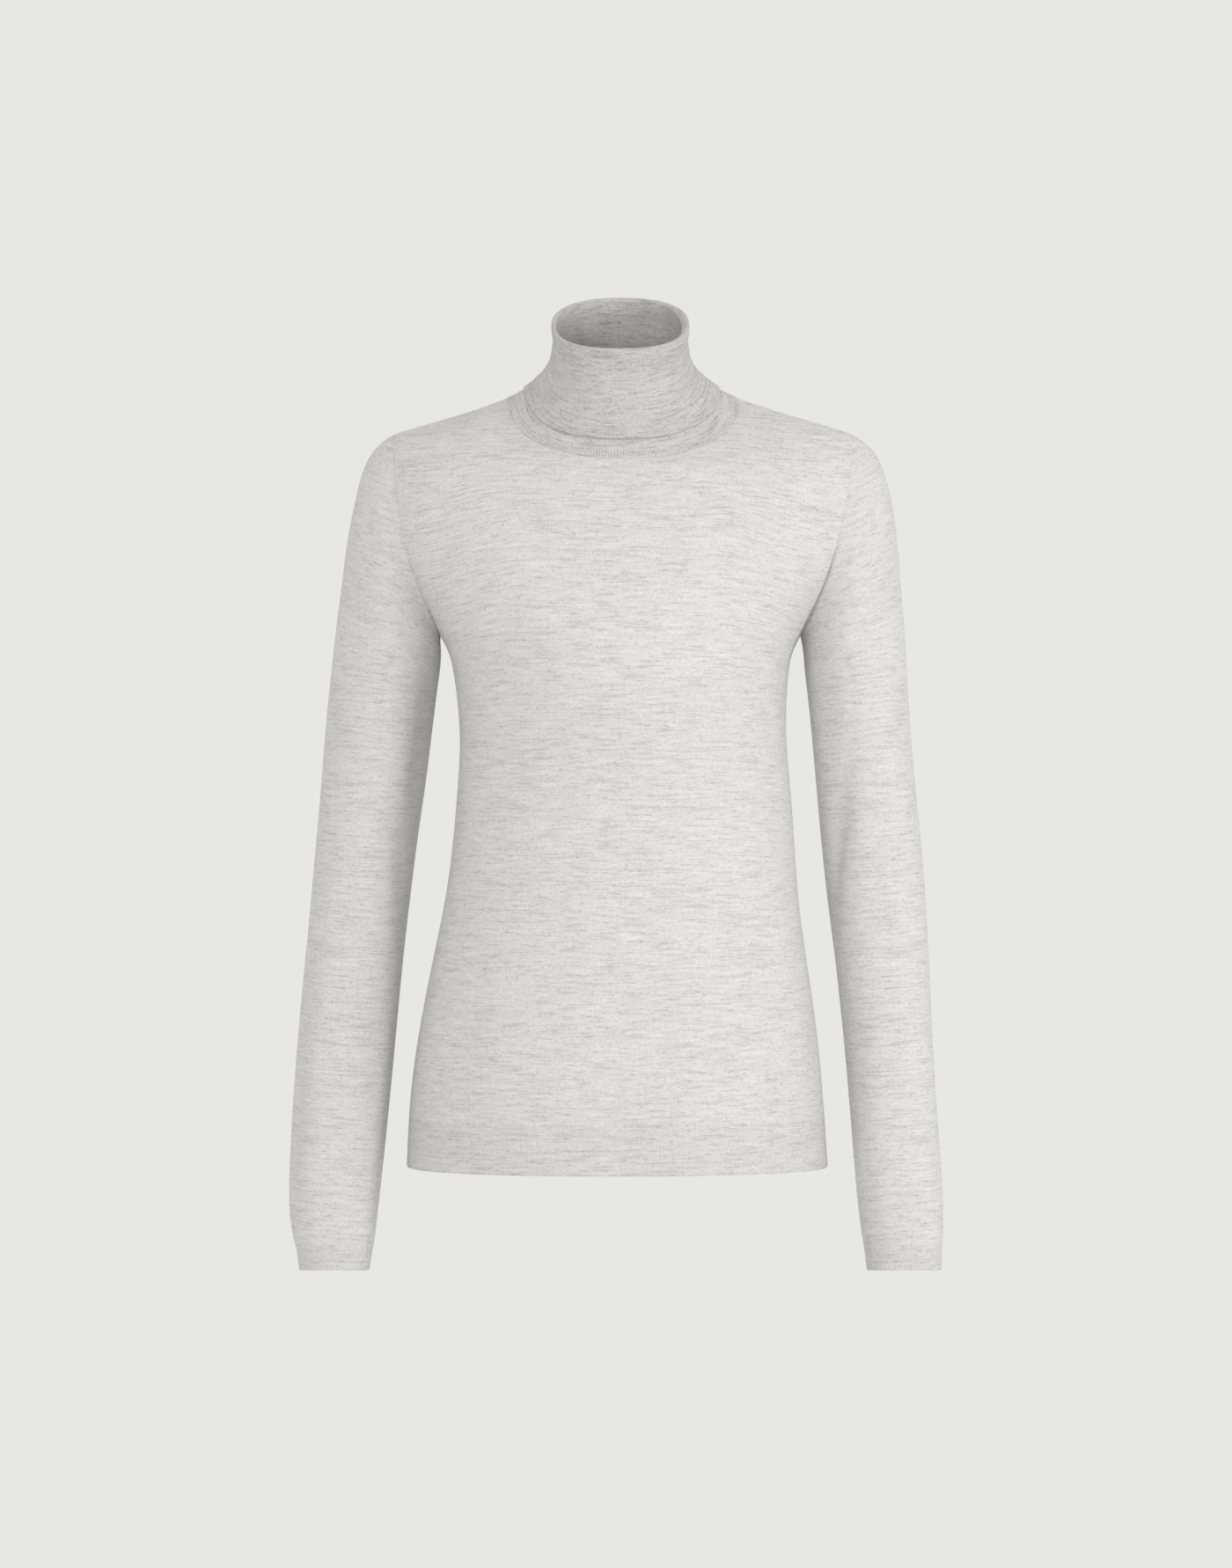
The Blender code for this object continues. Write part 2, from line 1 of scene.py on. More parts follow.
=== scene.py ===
"""The looks of a fine-gauge turtleneck sweater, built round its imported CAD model.

Metres, +Z up.  The front faces -Y and the wearer's left arm is at +X.  Each piece of cloth is a
thin shell on the form of its CAD solid: the same sections and rings, cut finely enough for the
seams, the rolled edges and the soft hollows.  The knit and its melange yarn are procedural.
Lengths named below are in millimetres where neither MM nor a comment says otherwise.
"""

import math
from collections import namedtuple

import bpy
import numpy as np
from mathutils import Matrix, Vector


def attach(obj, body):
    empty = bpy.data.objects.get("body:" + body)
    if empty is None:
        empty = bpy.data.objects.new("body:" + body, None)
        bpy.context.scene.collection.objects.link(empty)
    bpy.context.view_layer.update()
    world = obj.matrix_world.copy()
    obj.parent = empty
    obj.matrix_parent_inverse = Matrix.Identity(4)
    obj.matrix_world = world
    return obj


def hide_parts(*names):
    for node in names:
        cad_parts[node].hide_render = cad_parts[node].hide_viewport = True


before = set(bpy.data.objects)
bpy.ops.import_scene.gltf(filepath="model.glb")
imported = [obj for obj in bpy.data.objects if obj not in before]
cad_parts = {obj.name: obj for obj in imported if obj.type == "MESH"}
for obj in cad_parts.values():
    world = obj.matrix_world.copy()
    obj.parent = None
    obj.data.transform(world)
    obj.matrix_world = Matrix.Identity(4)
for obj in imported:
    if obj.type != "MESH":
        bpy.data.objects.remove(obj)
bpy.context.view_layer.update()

MM = 0.001

# Cloth, as thick as in the CAD; the gap at a seam is narrower here
CLOTH = 1.3 * MM
SEAM_GAP = 0.05 * MM
MOST_MITRE = 2.0  # how many times the cloth's thickness a wall may measure across a seam's corner
SAME_POINT = 0.002 * MM  # two pieces' points this near each other are one point of a seam
TINY = 1e-12  # stands in for a length of nothing in a division

# Body; heights are from the middle of the neck's base
HEM_EDGE = -593.5
HEM_SEAM = -555.5
UNDERARM = -184.0
SHOULDER_TIP = -29.0
NECK_HALF_WIDTH = 89.0
FRONT_NECK_DROP = 51.0
BACK_NECK_DROP = 6.0
NECK_ROUNDNESS = 2.35
NECK_POWER = 3  # how late a panel's rows take the neckline's bend on their way up
SECTION_ROUNDNESS = 2.3

Width = namedtuple("Width", "height half lean")
WIDTHS = [
    Width(0.0, NECK_HALF_WIDTH, 1.5),
    Width(-8.5, 111.8, 2.5),
    Width(-17.0, 138.8, 2.8),
    Width(-24.0, 162.8, 2.5),
    Width(-29.0, 177.0, 2.0),
    Width(-35.0, 183.5, 2.0),
    Width(-45.0, 187.5, 1.8),
    Width(-62.0, 190.0, 1.4),
    Width(-84.0, 189.5, 0.9),
    Width(-105.0, 184.5, 0.4),
    Width(-125.0, 175.5, 0.1),
    Width(-145.0, 164.0, 0.0),
    Width(-165.0, 150.5, 0.0),
    Width(-184.0, 139.0, 0.0),
    Width(-196.0, 133.0, 0.1),
    Width(-211.0, 129.4, 0.4),
    Width(-236.0, 126.8, 1.2),
    Width(-264.0, 126.0, 2.1),
    Width(-304.0, 128.5, 2.7),
    Width(-345.0, 131.8, 2.4),
    Width(-385.0, 136.0, 1.2),
    Width(-427.0, 142.8, -0.3),
    Width(-481.0, 152.0, -1.7),
    Width(-535.0, 158.6, -2.8),
    Width(-593.5, 162.4, -2.5),
]

Depth = namedtuple("Depth", "height front back")
DEPTHS = [
    Depth(0.0, 16.0, 56.0),
    Depth(-12.0, 30.0, 63.0),
    Depth(-25.0, 44.0, 69.0),
    Depth(-40.0, 60.0, 76.0),
    Depth(-51.0, 70.5, 80.0),
    Depth(-80.0, 87.0, 89.0),
    Depth(-115.0, 101.0, 96.0),
    Depth(-150.0, 111.5, 98.5),
    Depth(-190.0, 117.0, 95.0),
    Depth(-225.0, 114.5, 87.0),
    Depth(-260.0, 106.5, 78.5),
    Depth(-300.0, 98.5, 74.0),
    Depth(-345.0, 95.5, 78.0),
    Depth(-400.0, 98.5, 89.5),
    Depth(-450.0, 103.0, 100.0),
    Depth(-500.0, 107.0, 107.0),
    Depth(-550.0, 109.0, 108.5),
    Depth(-593.5, 108.5, 106.5),
]

Armhole = namedtuple("Armhole", "height out")
ARMHOLE = [
    Armhole(-29.0, 177.0),
    Armhole(-50.0, 175.6),
    Armhole(-75.0, 172.8),
    Armhole(-100.0, 168.4),
    Armhole(-125.0, 162.0),
    Armhole(-148.0, 154.0),
    Armhole(-168.0, 145.4),
    Armhole(-184.0, 139.0),
]

Ring = namedtuple("Ring", "top left_out right_out under left_in right_in along half_depth armhole")
SLEEVE_RINGS = [
    Ring(-29.0, 179.0, 175.0, -184.0, 139.0, 139.0, 0.0, 50.0, 1.00),
    Ring(-33.0, 185.8, 181.6, -186.0, 139.6, 139.2, 0.0, 50.2, 0.90),
    Ring(-41.5, 195.3, 190.6, -188.5, 140.1, 139.2, 0.3, 50.6, 0.75),
    Ring(-56.0, 202.8, 198.4, -191.5, 140.7, 139.0, 0.8, 51.0, 0.57),
    Ring(-76.0, 208.6, 204.0, -195.5, 141.3, 138.8, 1.6, 51.5, 0.39),
    Ring(-102.0, 213.0, 209.4, -200.5, 142.0, 138.9, 3.0, 52.0, 0.23),
    Ring(-130.0, 216.1, 214.0, -207.5, 142.6, 139.4, 5.2, 52.0, 0.11),
    Ring(-159.0, 218.4, 217.7, -217.5, 143.7, 140.7, 8.0, 51.6, 0.04),
    Ring(-189.5, 220.6, 221.4, -231.0, 145.5, 142.5, 11.2, 51.0, 0.01),
    Ring(-222.0, 222.7, 225.2, -249.0, 147.8, 144.8, 14.5, 50.3, 0.00),
    Ring(-257.0, 225.0, 228.8, -273.0, 150.2, 147.8, 17.8, 49.5, 0.00),
    Ring(-295.0, 228.6, 232.0, -303.0, 152.8, 151.8, 20.4, 48.4, 0.00),
    Ring(-336.0, 232.7, 235.6, -338.0, 155.8, 157.0, 21.6, 47.0, 0.00),
    Ring(-378.0, 236.1, 239.2, -378.0, 159.8, 162.2, 20.8, 45.3, 0.00),
    Ring(-420.0, 238.5, 243.1, -420.0, 164.6, 167.0, 17.8, 43.5, 0.00),
    Ring(-462.0, 240.2, 247.2, -462.0, 169.6, 171.2, 13.0, 41.6, 0.00),
    Ring(-504.0, 241.8, 250.8, -504.0, 173.8, 175.0, 6.8, 39.6, 0.00),
    Ring(-546.0, 244.0, 253.6, -546.0, 177.2, 178.8, -0.4, 37.2, 0.00),
    Ring(-588.0, 246.7, 255.3, -588.0, 180.2, 182.8, -8.2, 34.6, 0.00),
    Ring(-622.0, 248.1, 255.3, -622.0, 183.1, 186.4, -14.6, 32.2, 0.00),
    Ring(-643.0, 247.9, 252.8, -643.0, 185.6, 188.6, -18.4, 30.2, 0.00),
    Ring(-656.0, 247.0, 249.4, -656.0, 187.6, 190.6, -20.6, 28.6, 0.00),
]
CUFF_EDGE = Ring(-672.0, 246.4, 246.6, -672.0, 189.4, 193.0, -22.6, 26.8, 0.00)
CUFF_TILT = 0.092  # how much a ring near the wrist rises for each millimetre towards the front
TILT_FROM, TILT_FULL = -380.0, -520.0
FLATNESS = 0.5  # how far the lower sleeve's rings are from round
FLAT_FROM, FLAT_FULL = -200.0, -400.0

# Collar
RIM_HALF_WIDTH = 51.2
RIM_FRONT, RIM_BACK = 54.6, 58.6
RIM_ROUNDNESS = 2.35
RIM_FRONT_HEIGHT, RIM_BACK_HEIGHT = 31.5, 81.0
COLLAR_SPREAD_END = 0.68  # the part of the collar's height over which it spreads to the neckline
COLLAR_SPREAD_POWER = 2.2
STAND_STEP_POWER = 1.25  # above 1, the rings of the stand lie closer together near the neckline
TURN_DOWN_FRONT = 0.176  # where the turned-down layer ends, as a part of the collar's height
TURN_DOWN_SIDE = 0.125
LAYER_GAP = 0.9 * MM
LAYER_GAP_AT_EDGE = 0.8 * MM

# Soft hollows of the cloth: the CAD's own, the first of them lower and deeper here, then two small
# creases above the cuffs, and the sleeves' broad forms.  A negative depth stands out.  "across" is
# in degrees round a sleeve, and "turn" in degrees everywhere.
Fold = namedtuple("Fold", "piece across height length width turn depth")
FOLDS = [
    Fold("sleeve_left", 134.0, -345.0, 62.0, 11.0, -18.0, 5.4),
    Fold("sleeve_left", 62.0, -170.0, 60.0, 13.0, -60.0, 1.6),
    Fold("sleeve_left", -75.0, -380.0, 65.0, 16.0, 30.0, 2.0),
    Fold("sleeve_right", 128.0, -345.0, 62.0, 14.0, -18.0, 2.0),
    Fold("sleeve_right", 62.0, -170.0, 60.0, 13.0, -60.0, 1.6),
    Fold("sleeve_right", -75.0, -380.0, 65.0, 16.0, 30.0, 2.0),
    Fold("front", -112.0, -215.0, 62.0, 14.0, 58.0, 2.0),
    Fold("front", 112.0, -212.0, 62.0, 14.0, -58.0, 2.0),
    Fold("back", -108.0, -222.0, 66.0, 15.0, 52.0, 2.2),
    Fold("back", 108.0, -226.0, 66.0, 15.0, -52.0, 2.2),
    Fold("back", 0.0, -296.0, 90.0, 16.0, 88.0, 2.4),
    Fold("sleeve_left", 39.0, -590.0, 32.0, 5.0, 0.0, 0.8),
    Fold("sleeve_right", 205.0, -575.0, 34.0, 6.0, 10.0, 0.8),
    Fold("sleeve_left", 150.0, -262.0, 62.0, 15.0, 0.0, -3.0),
    Fold("sleeve_right", 150.0, -280.0, 75.0, 15.0, 0.0, 4.0),
    Fold("sleeve_right", 30.0, -550.0, 105.0, 14.0, 0.0, 4.0),
    Fold("sleeve_right", 142.0, -550.0, 105.0, 14.0, 0.0, -3.4),
]
FOLD_FADE = 20.0  # the body's depth over which its hollows fade out towards the sides

# How finely the grids are cut
COLUMNS = 150
COLUMN_CROWDING = 0.6  # from 0 to 1, how much closer a panel's columns lie towards its sides
SIDE_ROWS = 130
ARMHOLE_ROWS = 60
SHOULDER_ROWS = 36
HEM_ROWS = 30
CUFF_ROWS = 16
SLEEVE_STEPS = 240
STAND_STEPS = 48
TURNED_STEPS = 48
ROLL_STEPS = 10


def curve_through(knots, values):
    """The natural cubic spline through the values, as a function of the knots' coordinate."""
    order = np.argsort(knots)
    knots = np.asarray(knots, float)[order]
    values = np.asarray(values, float)[order]
    step = np.diff(knots)
    rise = np.diff(values) / step
    system = np.eye(len(knots))
    right = np.zeros(len(knots))
    for k in range(1, len(knots) - 1):
        system[k, k - 1 : k + 2] = step[k - 1], 2 * (step[k - 1] + step[k]), step[k]
        right[k] = 6 * (rise[k] - rise[k - 1])
    bend = np.linalg.solve(system, right)

    def at(place):
        place = np.clip(place, knots[0], knots[-1])
        k = np.clip(np.searchsorted(knots, place, side="right") - 1, 0, len(step) - 1)
        before = (knots[k + 1] - place) / step[k]
        after = 1 - before
        straight = before * values[k] + after * values[k + 1]
        curved = (before**3 - before) * bend[k] + (after**3 - after) * bend[k + 1]
        return straight + curved * step[k] ** 2 / 6

    return at


def column_curve(table, column):
    return curve_through([row.height for row in table], [getattr(row, column) for row in table])


half_width = column_curve(WIDTHS, "half")
lean = column_curve(WIDTHS, "lean")
front_depth = column_curve(DEPTHS, "front")
back_depth = column_curve(DEPTHS, "back")
armhole_out = column_curve(ARMHOLE, "out")


def hollow(fold, across, along):
    """How deep a fold is, at so many millimetres across and along from the fold's middle."""
    turn = math.radians(fold.turn)
    lengthwise = (across * math.sin(turn) + along * math.cos(turn)) / fold.length
    sideways = (across * math.cos(turn) - along * math.sin(turn)) / fold.width
    return fold.depth * np.exp(-(lengthwise**2) - sideways**2)


def depth_of(side, height):
    return front_depth(height) if side == "front" else back_depth(height)


def section_out(side, share, height):
    return depth_of(side, height) * (1 - share**SECTION_ROUNDNESS) ** (1 / SECTION_ROUNDNESS)


def body_point(x, height, side):
    """The body's outer face at x and height, both in millimetres; side is "front" or "back"."""
    out = section_out(side, np.clip(np.abs(x) / half_width(height), 0, 1), height)
    for fold in FOLDS:
        if fold.piece == side:
            pressed = hollow(fold, x - fold.across, height - fold.height)
            out = out - pressed * np.minimum(1, out / FOLD_FADE)
    y = -out if side == "front" else out
    return np.stack([x + lean(height), y, height + 0 * x], axis=-1) * MM


def crowded(places):
    """Places from -1 to 1, drawn closer together towards both ends."""
    return places + COLUMN_CROWDING * (np.sin(places * math.pi / 2) - places)


def edge_heights():
    """Heights of a panel's rows along its side: side seam, armhole and shoulder line."""
    side = HEM_SEAM + (UNDERARM - HEM_SEAM) * np.linspace(0, 1, SIDE_ROWS + 1)
    middle = (UNDERARM + SHOULDER_TIP) / 2
    reach = (SHOULDER_TIP - UNDERARM) / 2
    armhole = middle - reach * np.cos(np.linspace(0, math.pi, ARMHOLE_ROWS + 1))
    shoulder = np.linspace(SHOULDER_TIP, 0, SHOULDER_ROWS + 1)
    return np.concatenate([side, armhole[1:], shoulder[1:]])


def edge_out(height):
    return armhole_out(height) if UNDERARM < height < SHOULDER_TIP else half_width(height)


def across_shares(out, height):
    """Places across a panel from -1 to 1, spaced by the angle round its section at this height."""
    limit = math.asin(min(1.0, out / half_width(height)))
    return np.sin(limit * crowded(np.linspace(-1, 1, COLUMNS + 1))) / math.sin(limit)


def panel_grid(side):
    """A body panel's outer face.  Rows run level at the hem and bend round the neckline."""
    heights = edge_heights()
    drop = -FRONT_NECK_DROP if side == "front" else -BACK_NECK_DROP
    outs = [edge_out(height) for height in heights]
    rises = np.hypot(np.diff(outs), np.diff(heights))
    travelled = np.concatenate([[0], np.cumsum(rises)])
    underarm = travelled[SIDE_ROWS]
    above = np.clip((travelled - underarm) / (travelled[-1] - underarm), 0, 1)
    rows = []
    for height, out, climbed in zip(heights, outs, above):
        shares = across_shares(out, height)
        middle = height if climbed == 0 else UNDERARM + (drop - UNDERARM) * climbed
        flatness = 1 + (1 / NECK_ROUNDNESS - 1) * climbed**NECK_POWER
        lift = 1 - np.clip(1 - np.abs(shares) ** NECK_ROUNDNESS, 0, 1) ** flatness
        rows.append(body_point(out * shares, middle + (height - middle) * lift, side))
    return np.array(rows)


def hem_grid(side):
    rows = []
    for height in np.linspace(HEM_EDGE, HEM_SEAM, HEM_ROWS + 1):
        out = half_width(height)
        rows.append(body_point(out * across_shares(out, height), height, side))
    return np.array(rows)


def armhole_loop(sign):
    """The armhole seam from the shoulder down the front and up the back; sign is 1 on the left."""
    heights = edge_heights()[SIDE_ROWS : SIDE_ROWS + ARMHOLE_ROWS + 1][::-1]
    out = sign * np.array([edge_out(height) for height in heights])
    down = body_point(out, heights, "front")
    up = body_point(out, heights, "back")[::-1]
    return np.concatenate([down, up[1:-1]])


def squared(part, flat):
    """A cosine or sine drawn towards a rounded square's, more so the larger flat is."""
    return np.sign(part) * np.abs(part) ** (2 / (2 + flat))


def oval(ring, sign, angles):
    """One ring of a sleeve.  Angle 0 is its outer end, and a quarter turn on is its front."""
    arm = "left" if sign > 0 else "right"
    out, inner = ring[arm + "_out"], ring[arm + "_in"]
    middle = (ring["top"] + ring["under"]) / 2
    flat = FLATNESS * np.clip((FLAT_FROM - middle) / (FLAT_FROM - FLAT_FULL), 0, 1)
    sideways, forwards = squared(np.cos(angles), flat), squared(np.sin(angles), flat)
    x = sign * ((out + inner) / 2 + (out - inner) / 2 * sideways)
    y = ring["along"] - ring["half_depth"] * forwards
    z = middle + (ring["top"] - ring["under"]) / 2 * np.cos(angles)
    bent = np.clip((TILT_FROM - z) / (TILT_FROM - TILT_FULL), 0, 1)
    z = z + CUFF_TILT * bent * ring["half_depth"] * np.sin(angles)
    return np.stack([x, y, z], axis=-1) * MM


def round_angles():
    return np.linspace(0, 2 * math.pi, 2 * ARMHOLE_ROWS + 1)[:-1]


def sleeve_folds(name, grid, angles):
    """Presses the sleeve's soft hollows into its rings, towards each ring's middle."""
    middles = grid.mean(axis=1, keepdims=True)
    radius = np.linalg.norm(grid - middles, axis=2)
    height = grid[:, :, 2] / MM
    turned = np.degrees(angles)[None, :]
    depth = np.zeros(radius.shape)
    for fold in FOLDS:
        if fold.piece == name:
            around = np.radians((turned - fold.across + 180) % 360 - 180) * radius / MM
            depth += hollow(fold, around, height - fold.height)
    return grid + (middles - grid) / radius[:, :, None] * depth[:, :, None] * MM


def sleeve_grid(name, sign):
    angles = round_angles()
    numbers = np.arange(len(SLEEVE_RINGS))
    curves = {
        field: curve_through(numbers, [getattr(ring, field) for ring in SLEEVE_RINGS])
        for field in Ring._fields
    }
    first = {field: getattr(SLEEVE_RINGS[0], field) for field in Ring._fields}
    own_shape = armhole_loop(sign) - oval(first, sign, angles)
    rings = []
    for place in np.linspace(0, len(SLEEVE_RINGS) - 1, SLEEVE_STEPS + 1):
        ring = {field: curve(place) for field, curve in curves.items()}
        rings.append(oval(ring, sign, angles) + own_shape * max(0.0, ring["armhole"]))
    grid = sleeve_folds(name, np.array(rings), angles)
    grid[0] = armhole_loop(sign)
    return grid


def cuff_grid(sleeve, sign):
    """The cuff goes on from the sleeve's last ring down to its own edge."""
    edge = oval(CUFF_EDGE._asdict(), sign, round_angles())
    shares = np.linspace(0, 1, CUFF_ROWS + 1)[:, None, None]
    return sleeve[-1] * (1 - shares) + edge * shares


def round_neck(front_row, back_row):
    """One closed loop from a front row and a back row: across the front, then back behind."""
    return np.concatenate([front_row, back_row[::-1][1:-1]])


def collar_stand(front, back):
    """The collar's standing layer, from the neckline up to where it rolls over."""
    base = round_neck(front[-1], back[-1])
    across = math.pi / 2 * crowded(np.linspace(-1, 1, COLUMNS + 1))
    turned = np.concatenate([across, across[::-1][1:-1]])
    in_front = np.arange(len(turned)) <= COLUMNS
    reach = np.where(in_front, -RIM_FRONT, RIM_BACK)
    sideways = np.sign(turned) * np.abs(np.sin(turned)) ** (2 / RIM_ROUNDNESS)
    forwards = np.clip(np.cos(turned), 0, 1) ** (2 / RIM_ROUNDNESS)
    rim = np.stack([RIM_HALF_WIDTH * sideways, reach * forwards, 0 * turned], axis=-1)
    towards_back = (rim[:, 1] + RIM_FRONT) / (RIM_FRONT + RIM_BACK)
    rim[:, 2] = RIM_FRONT_HEIGHT + (RIM_BACK_HEIGHT - RIM_FRONT_HEIGHT) * towards_back
    rim *= MM
    layers = []
    for climbed in np.linspace(0, 1, STAND_STEPS + 1) ** STAND_STEP_POWER:
        spread = max(0.0, 1 - climbed / COLLAR_SPREAD_END) ** COLLAR_SPREAD_POWER
        layer = rim + (base - rim) * spread
        layer[:, 2] = base[:, 2] + (rim[:, 2] - base[:, 2]) * climbed
        layers.append(layer)
    return np.array(layers)


def face_normals(grid, closed):
    """Area-weighted normals of a grid's faces, rows by columns; closed grids wrap round."""
    across = np.roll(grid, -1, axis=1) if closed else grid[:, 1:]
    start = grid if closed else grid[:, :-1]
    return np.cross(across[1:] - start[:-1], start[1:] - across[:-1])


def corner_sums(faces, shape, closed):
    """Adds each face's value to the grid points at its corners."""
    total = np.zeros(shape)
    columns = shape[1]
    for row in (0, 1):
        for column in (0, 1):
            rows = slice(row, row + faces.shape[0])
            if closed:
                total[rows] += np.roll(faces, column, axis=1)
            else:
                total[rows, column : column + columns - 1] += faces
    return total


def unit(vectors):
    return vectors / np.maximum(np.linalg.norm(vectors, axis=-1, keepdims=True), TINY)


def rim_of(shape):
    """True at the points along a grid's border."""
    border = np.zeros(shape, bool)
    border[[0, -1]] = True
    border[:, [0, -1]] = True
    return border


def inward_offsets(grids, tubes):
    """At each point of each grid, the way to its inner face, shared by pieces that meet there."""
    sums, areas, borders = {}, {}, {}
    for name, grid in grids.items():
        faces = face_normals(grid, name in tubes)
        sums[name] = corner_sums(faces, grid.shape, name in tubes)
        sizes = np.repeat(np.linalg.norm(faces, axis=2)[:, :, None], 3, axis=2)
        areas[name] = corner_sums(sizes, grid.shape, name in tubes)[:, :, 0]
        borders[name] = rim_of(grid.shape[:2])
    places = np.concatenate([grids[name][borders[name]] for name in grids])
    keys = np.round(places / SAME_POINT).astype(np.int64)
    _, same = np.unique(keys, axis=0, return_inverse=True)
    same = same.reshape(-1)
    shared = np.zeros((same.max() + 1, 4))
    own = [np.column_stack([kept[name][borders[name]] for kept in (sums, areas)]) for name in grids]
    np.add.at(shared, same, np.concatenate(own))
    start = 0
    offsets = {}
    for name in grids:
        count = borders[name].sum()
        joined = shared[same[start : start + count]]
        start += count
        sums[name][borders[name]] = joined[:, :3]
        areas[name][borders[name]] = joined[:, 3]
        mitre = areas[name] / np.maximum(np.linalg.norm(sums[name], axis=2), TINY)
        offsets[name] = -unit(sums[name]) * (CLOTH * np.minimum(MOST_MITRE, mitre))[:, :, None]
    return offsets


def across_seam(edge, beside, inward, closed):
    """The way from a seam into its piece, square to the seam, in the plane that parts the walls."""
    if closed:
        along = np.roll(edge, -1, axis=0) - np.roll(edge, 1, axis=0)
    else:
        along = np.gradient(edge, axis=0)
    depth = unit(inward)
    along = unit(along - (along * depth).sum(axis=1, keepdims=True) * depth)
    way = beside - edge
    way = way - (way * depth).sum(axis=1, keepdims=True) * depth
    return unit(way - (way * along).sum(axis=1, keepdims=True) * along)


def drawn_back(grid, inward, closed, rows=(), columns=()):
    """The grid with the named end rows and columns moved half a seam gap into the piece."""
    moved = grid.copy()
    for end in rows:
        beside = grid[1 if end == 0 else -2]
        moved[end] += across_seam(grid[end], beside, inward[end], closed) * SEAM_GAP / 2
    for end in columns:
        beside = grid[:, 1 if end == 0 else -2]
        moved[:, end] += across_seam(grid[:, end], beside, inward[:, end], False) * SEAM_GAP / 2
    return moved


# --- Relief of the seams and edges ----

Seam = namedtuple("Seam", "groove groove_width lip lip_at lip_width")
ARMHOLE_SEAM = Seam(0.09, 0.8, 0.06, 2.6, 1.6)
SIDE_SEAM = Seam(0.30, 0.8, 0.14, 2.2, 1.2)
NECK_SEAM = Seam(0.16, 0.7, 0.12, 2.0, 1.2)
BAND_LINE = Seam(0.07, 0.9, 0.06, 2.2, 1.2)
BAND_EDGE = Seam(0.50, 0.60, 0.10, 1.4, 0.9)
UNDERARM_SEAM = SIDE_SEAM
LAP_FOOT, LAP_HEAD = (-181.0, -168.0), (-135.0, -105.0)  # heights where the overlap fades
LAP_FADE = 8.0  # the body's depth over which it fades towards the side
LAP_OVER, LAP_UNDER, LAP_WIDTH = 0.35, 1.3, 2.4  # the body's edge over the sleeve's, on the left
TUCK, TUCK_WIDTH = 0.04, 1.6  # the body's edge on the right
PUFF, PUFF_AT, PUFF_WIDTH = 0.10, 2.6, 2.4  # the sleeve beside it
UNDERARM_FADE = 6.0  # how far below the armhole the seam under the arm is fully formed


def soft_step(value, low, high):
    share = np.clip((value - low) / (high - low), 0, 1)
    return share * share * (3 - 2 * share)


def bell(distance, reach, power=2):
    """1 at no distance, and fading towards 0 past its reach, more squarely with a higher power."""
    return np.exp(-((distance / reach) ** power))


def relief(seam, distance):
    """How far the cloth stands out beside a seam, at this distance from it."""
    groove = seam.groove * bell(distance, seam.groove_width)
    return seam.lip * bell(distance - seam.lip_at, seam.lip_width) - groove


def along_rows(grid, closed=False):
    """Distance from the first column along each row, in millimetres; closed adds the way back."""
    full = np.concatenate([grid, grid[:, :1]], axis=1) if closed else grid
    steps = np.linalg.norm(np.diff(full, axis=1), axis=2)
    return np.concatenate([np.zeros((len(grid), 1)), np.cumsum(steps, axis=1)], axis=1) / MM


def along_columns(grid):
    steps = np.linalg.norm(np.diff(grid, axis=0), axis=2)
    return np.concatenate([np.zeros((1, grid.shape[1])), np.cumsum(steps, axis=0)], axis=0) / MM


def low_in_front(grid):
    """1 along the low front part of the left armhole, fading to 0 elsewhere."""
    x, y, height = np.moveaxis(grid, 2, 0) / MM
    low = soft_step(height, *LAP_FOOT) * (1 - soft_step(height, *LAP_HEAD))
    return low * soft_step(-y, 0, LAP_FADE) * (x > 0)


def body_at_armhole(grid, from_edge):
    """The body's edge lies over the sleeve on the left, and is tucked in a little on the right."""
    lap = LAP_OVER * low_in_front(grid) * bell(from_edge, LAP_WIDTH)
    return lap - TUCK * (grid[:, :, 0] < 0) * bell(from_edge, TUCK_WIDTH)


def sleeve_at_armhole(grid, from_edge, sign):
    if sign > 0:
        return -LAP_UNDER * low_in_front(grid) * bell(from_edge, LAP_WIDTH)
    return PUFF * bell(from_edge - PUFF_AT, PUFF_WIDTH)


def panel_relief(grid):
    """Side, armhole and shoulder seams along a panel's sides, its neckline and its hem's line."""
    across = along_rows(grid)
    up = along_columns(grid)
    from_edge = np.minimum(across, across[:, -1:] - across)
    rise = np.zeros(from_edge.shape)
    armhole = slice(SIDE_ROWS, SIDE_ROWS + ARMHOLE_ROWS)
    rise += relief(SIDE_SEAM, from_edge)
    rise[armhole] = relief(ARMHOLE_SEAM, from_edge[armhole])
    rise[armhole] += body_at_armhole(grid[armhole], from_edge[armhole])
    rise += relief(NECK_SEAM, up[-1:] - up)
    rise += relief(BAND_LINE, up)
    return rise


def band_relief(grid, closed):
    """A band's line at its top row (last), its rounded edge at its bottom row (first)."""
    up = along_columns(grid)
    rise = relief(BAND_LINE, up[-1:] - up) + relief(BAND_EDGE, up)
    if not closed:
        across = along_rows(grid)
        rise += relief(SIDE_SEAM, np.minimum(across, across[:, -1:] - across))
    return rise


def sleeve_relief(grid, sign):
    """The armhole at a sleeve's first ring, the cuff's line at its last, the seam under the arm."""
    down = along_columns(grid)
    around = along_rows(grid, closed=True)
    under = around[:, ARMHOLE_ROWS : ARMHOLE_ROWS + 1]
    from_under = np.abs(around[:, :-1] - under)
    rise = relief(ARMHOLE_SEAM, down) + relief(BAND_LINE, down[-1:] - down)
    rise += sleeve_at_armhole(grid, down, sign)
    return rise + relief(UNDERARM_SEAM, from_under) * np.clip(down / UNDERARM_FADE, 0, 1)


# --- Meshes ---------------------------

CREASE_ANGLE = 55.0  # degrees between faces, above which their shading isn't blended


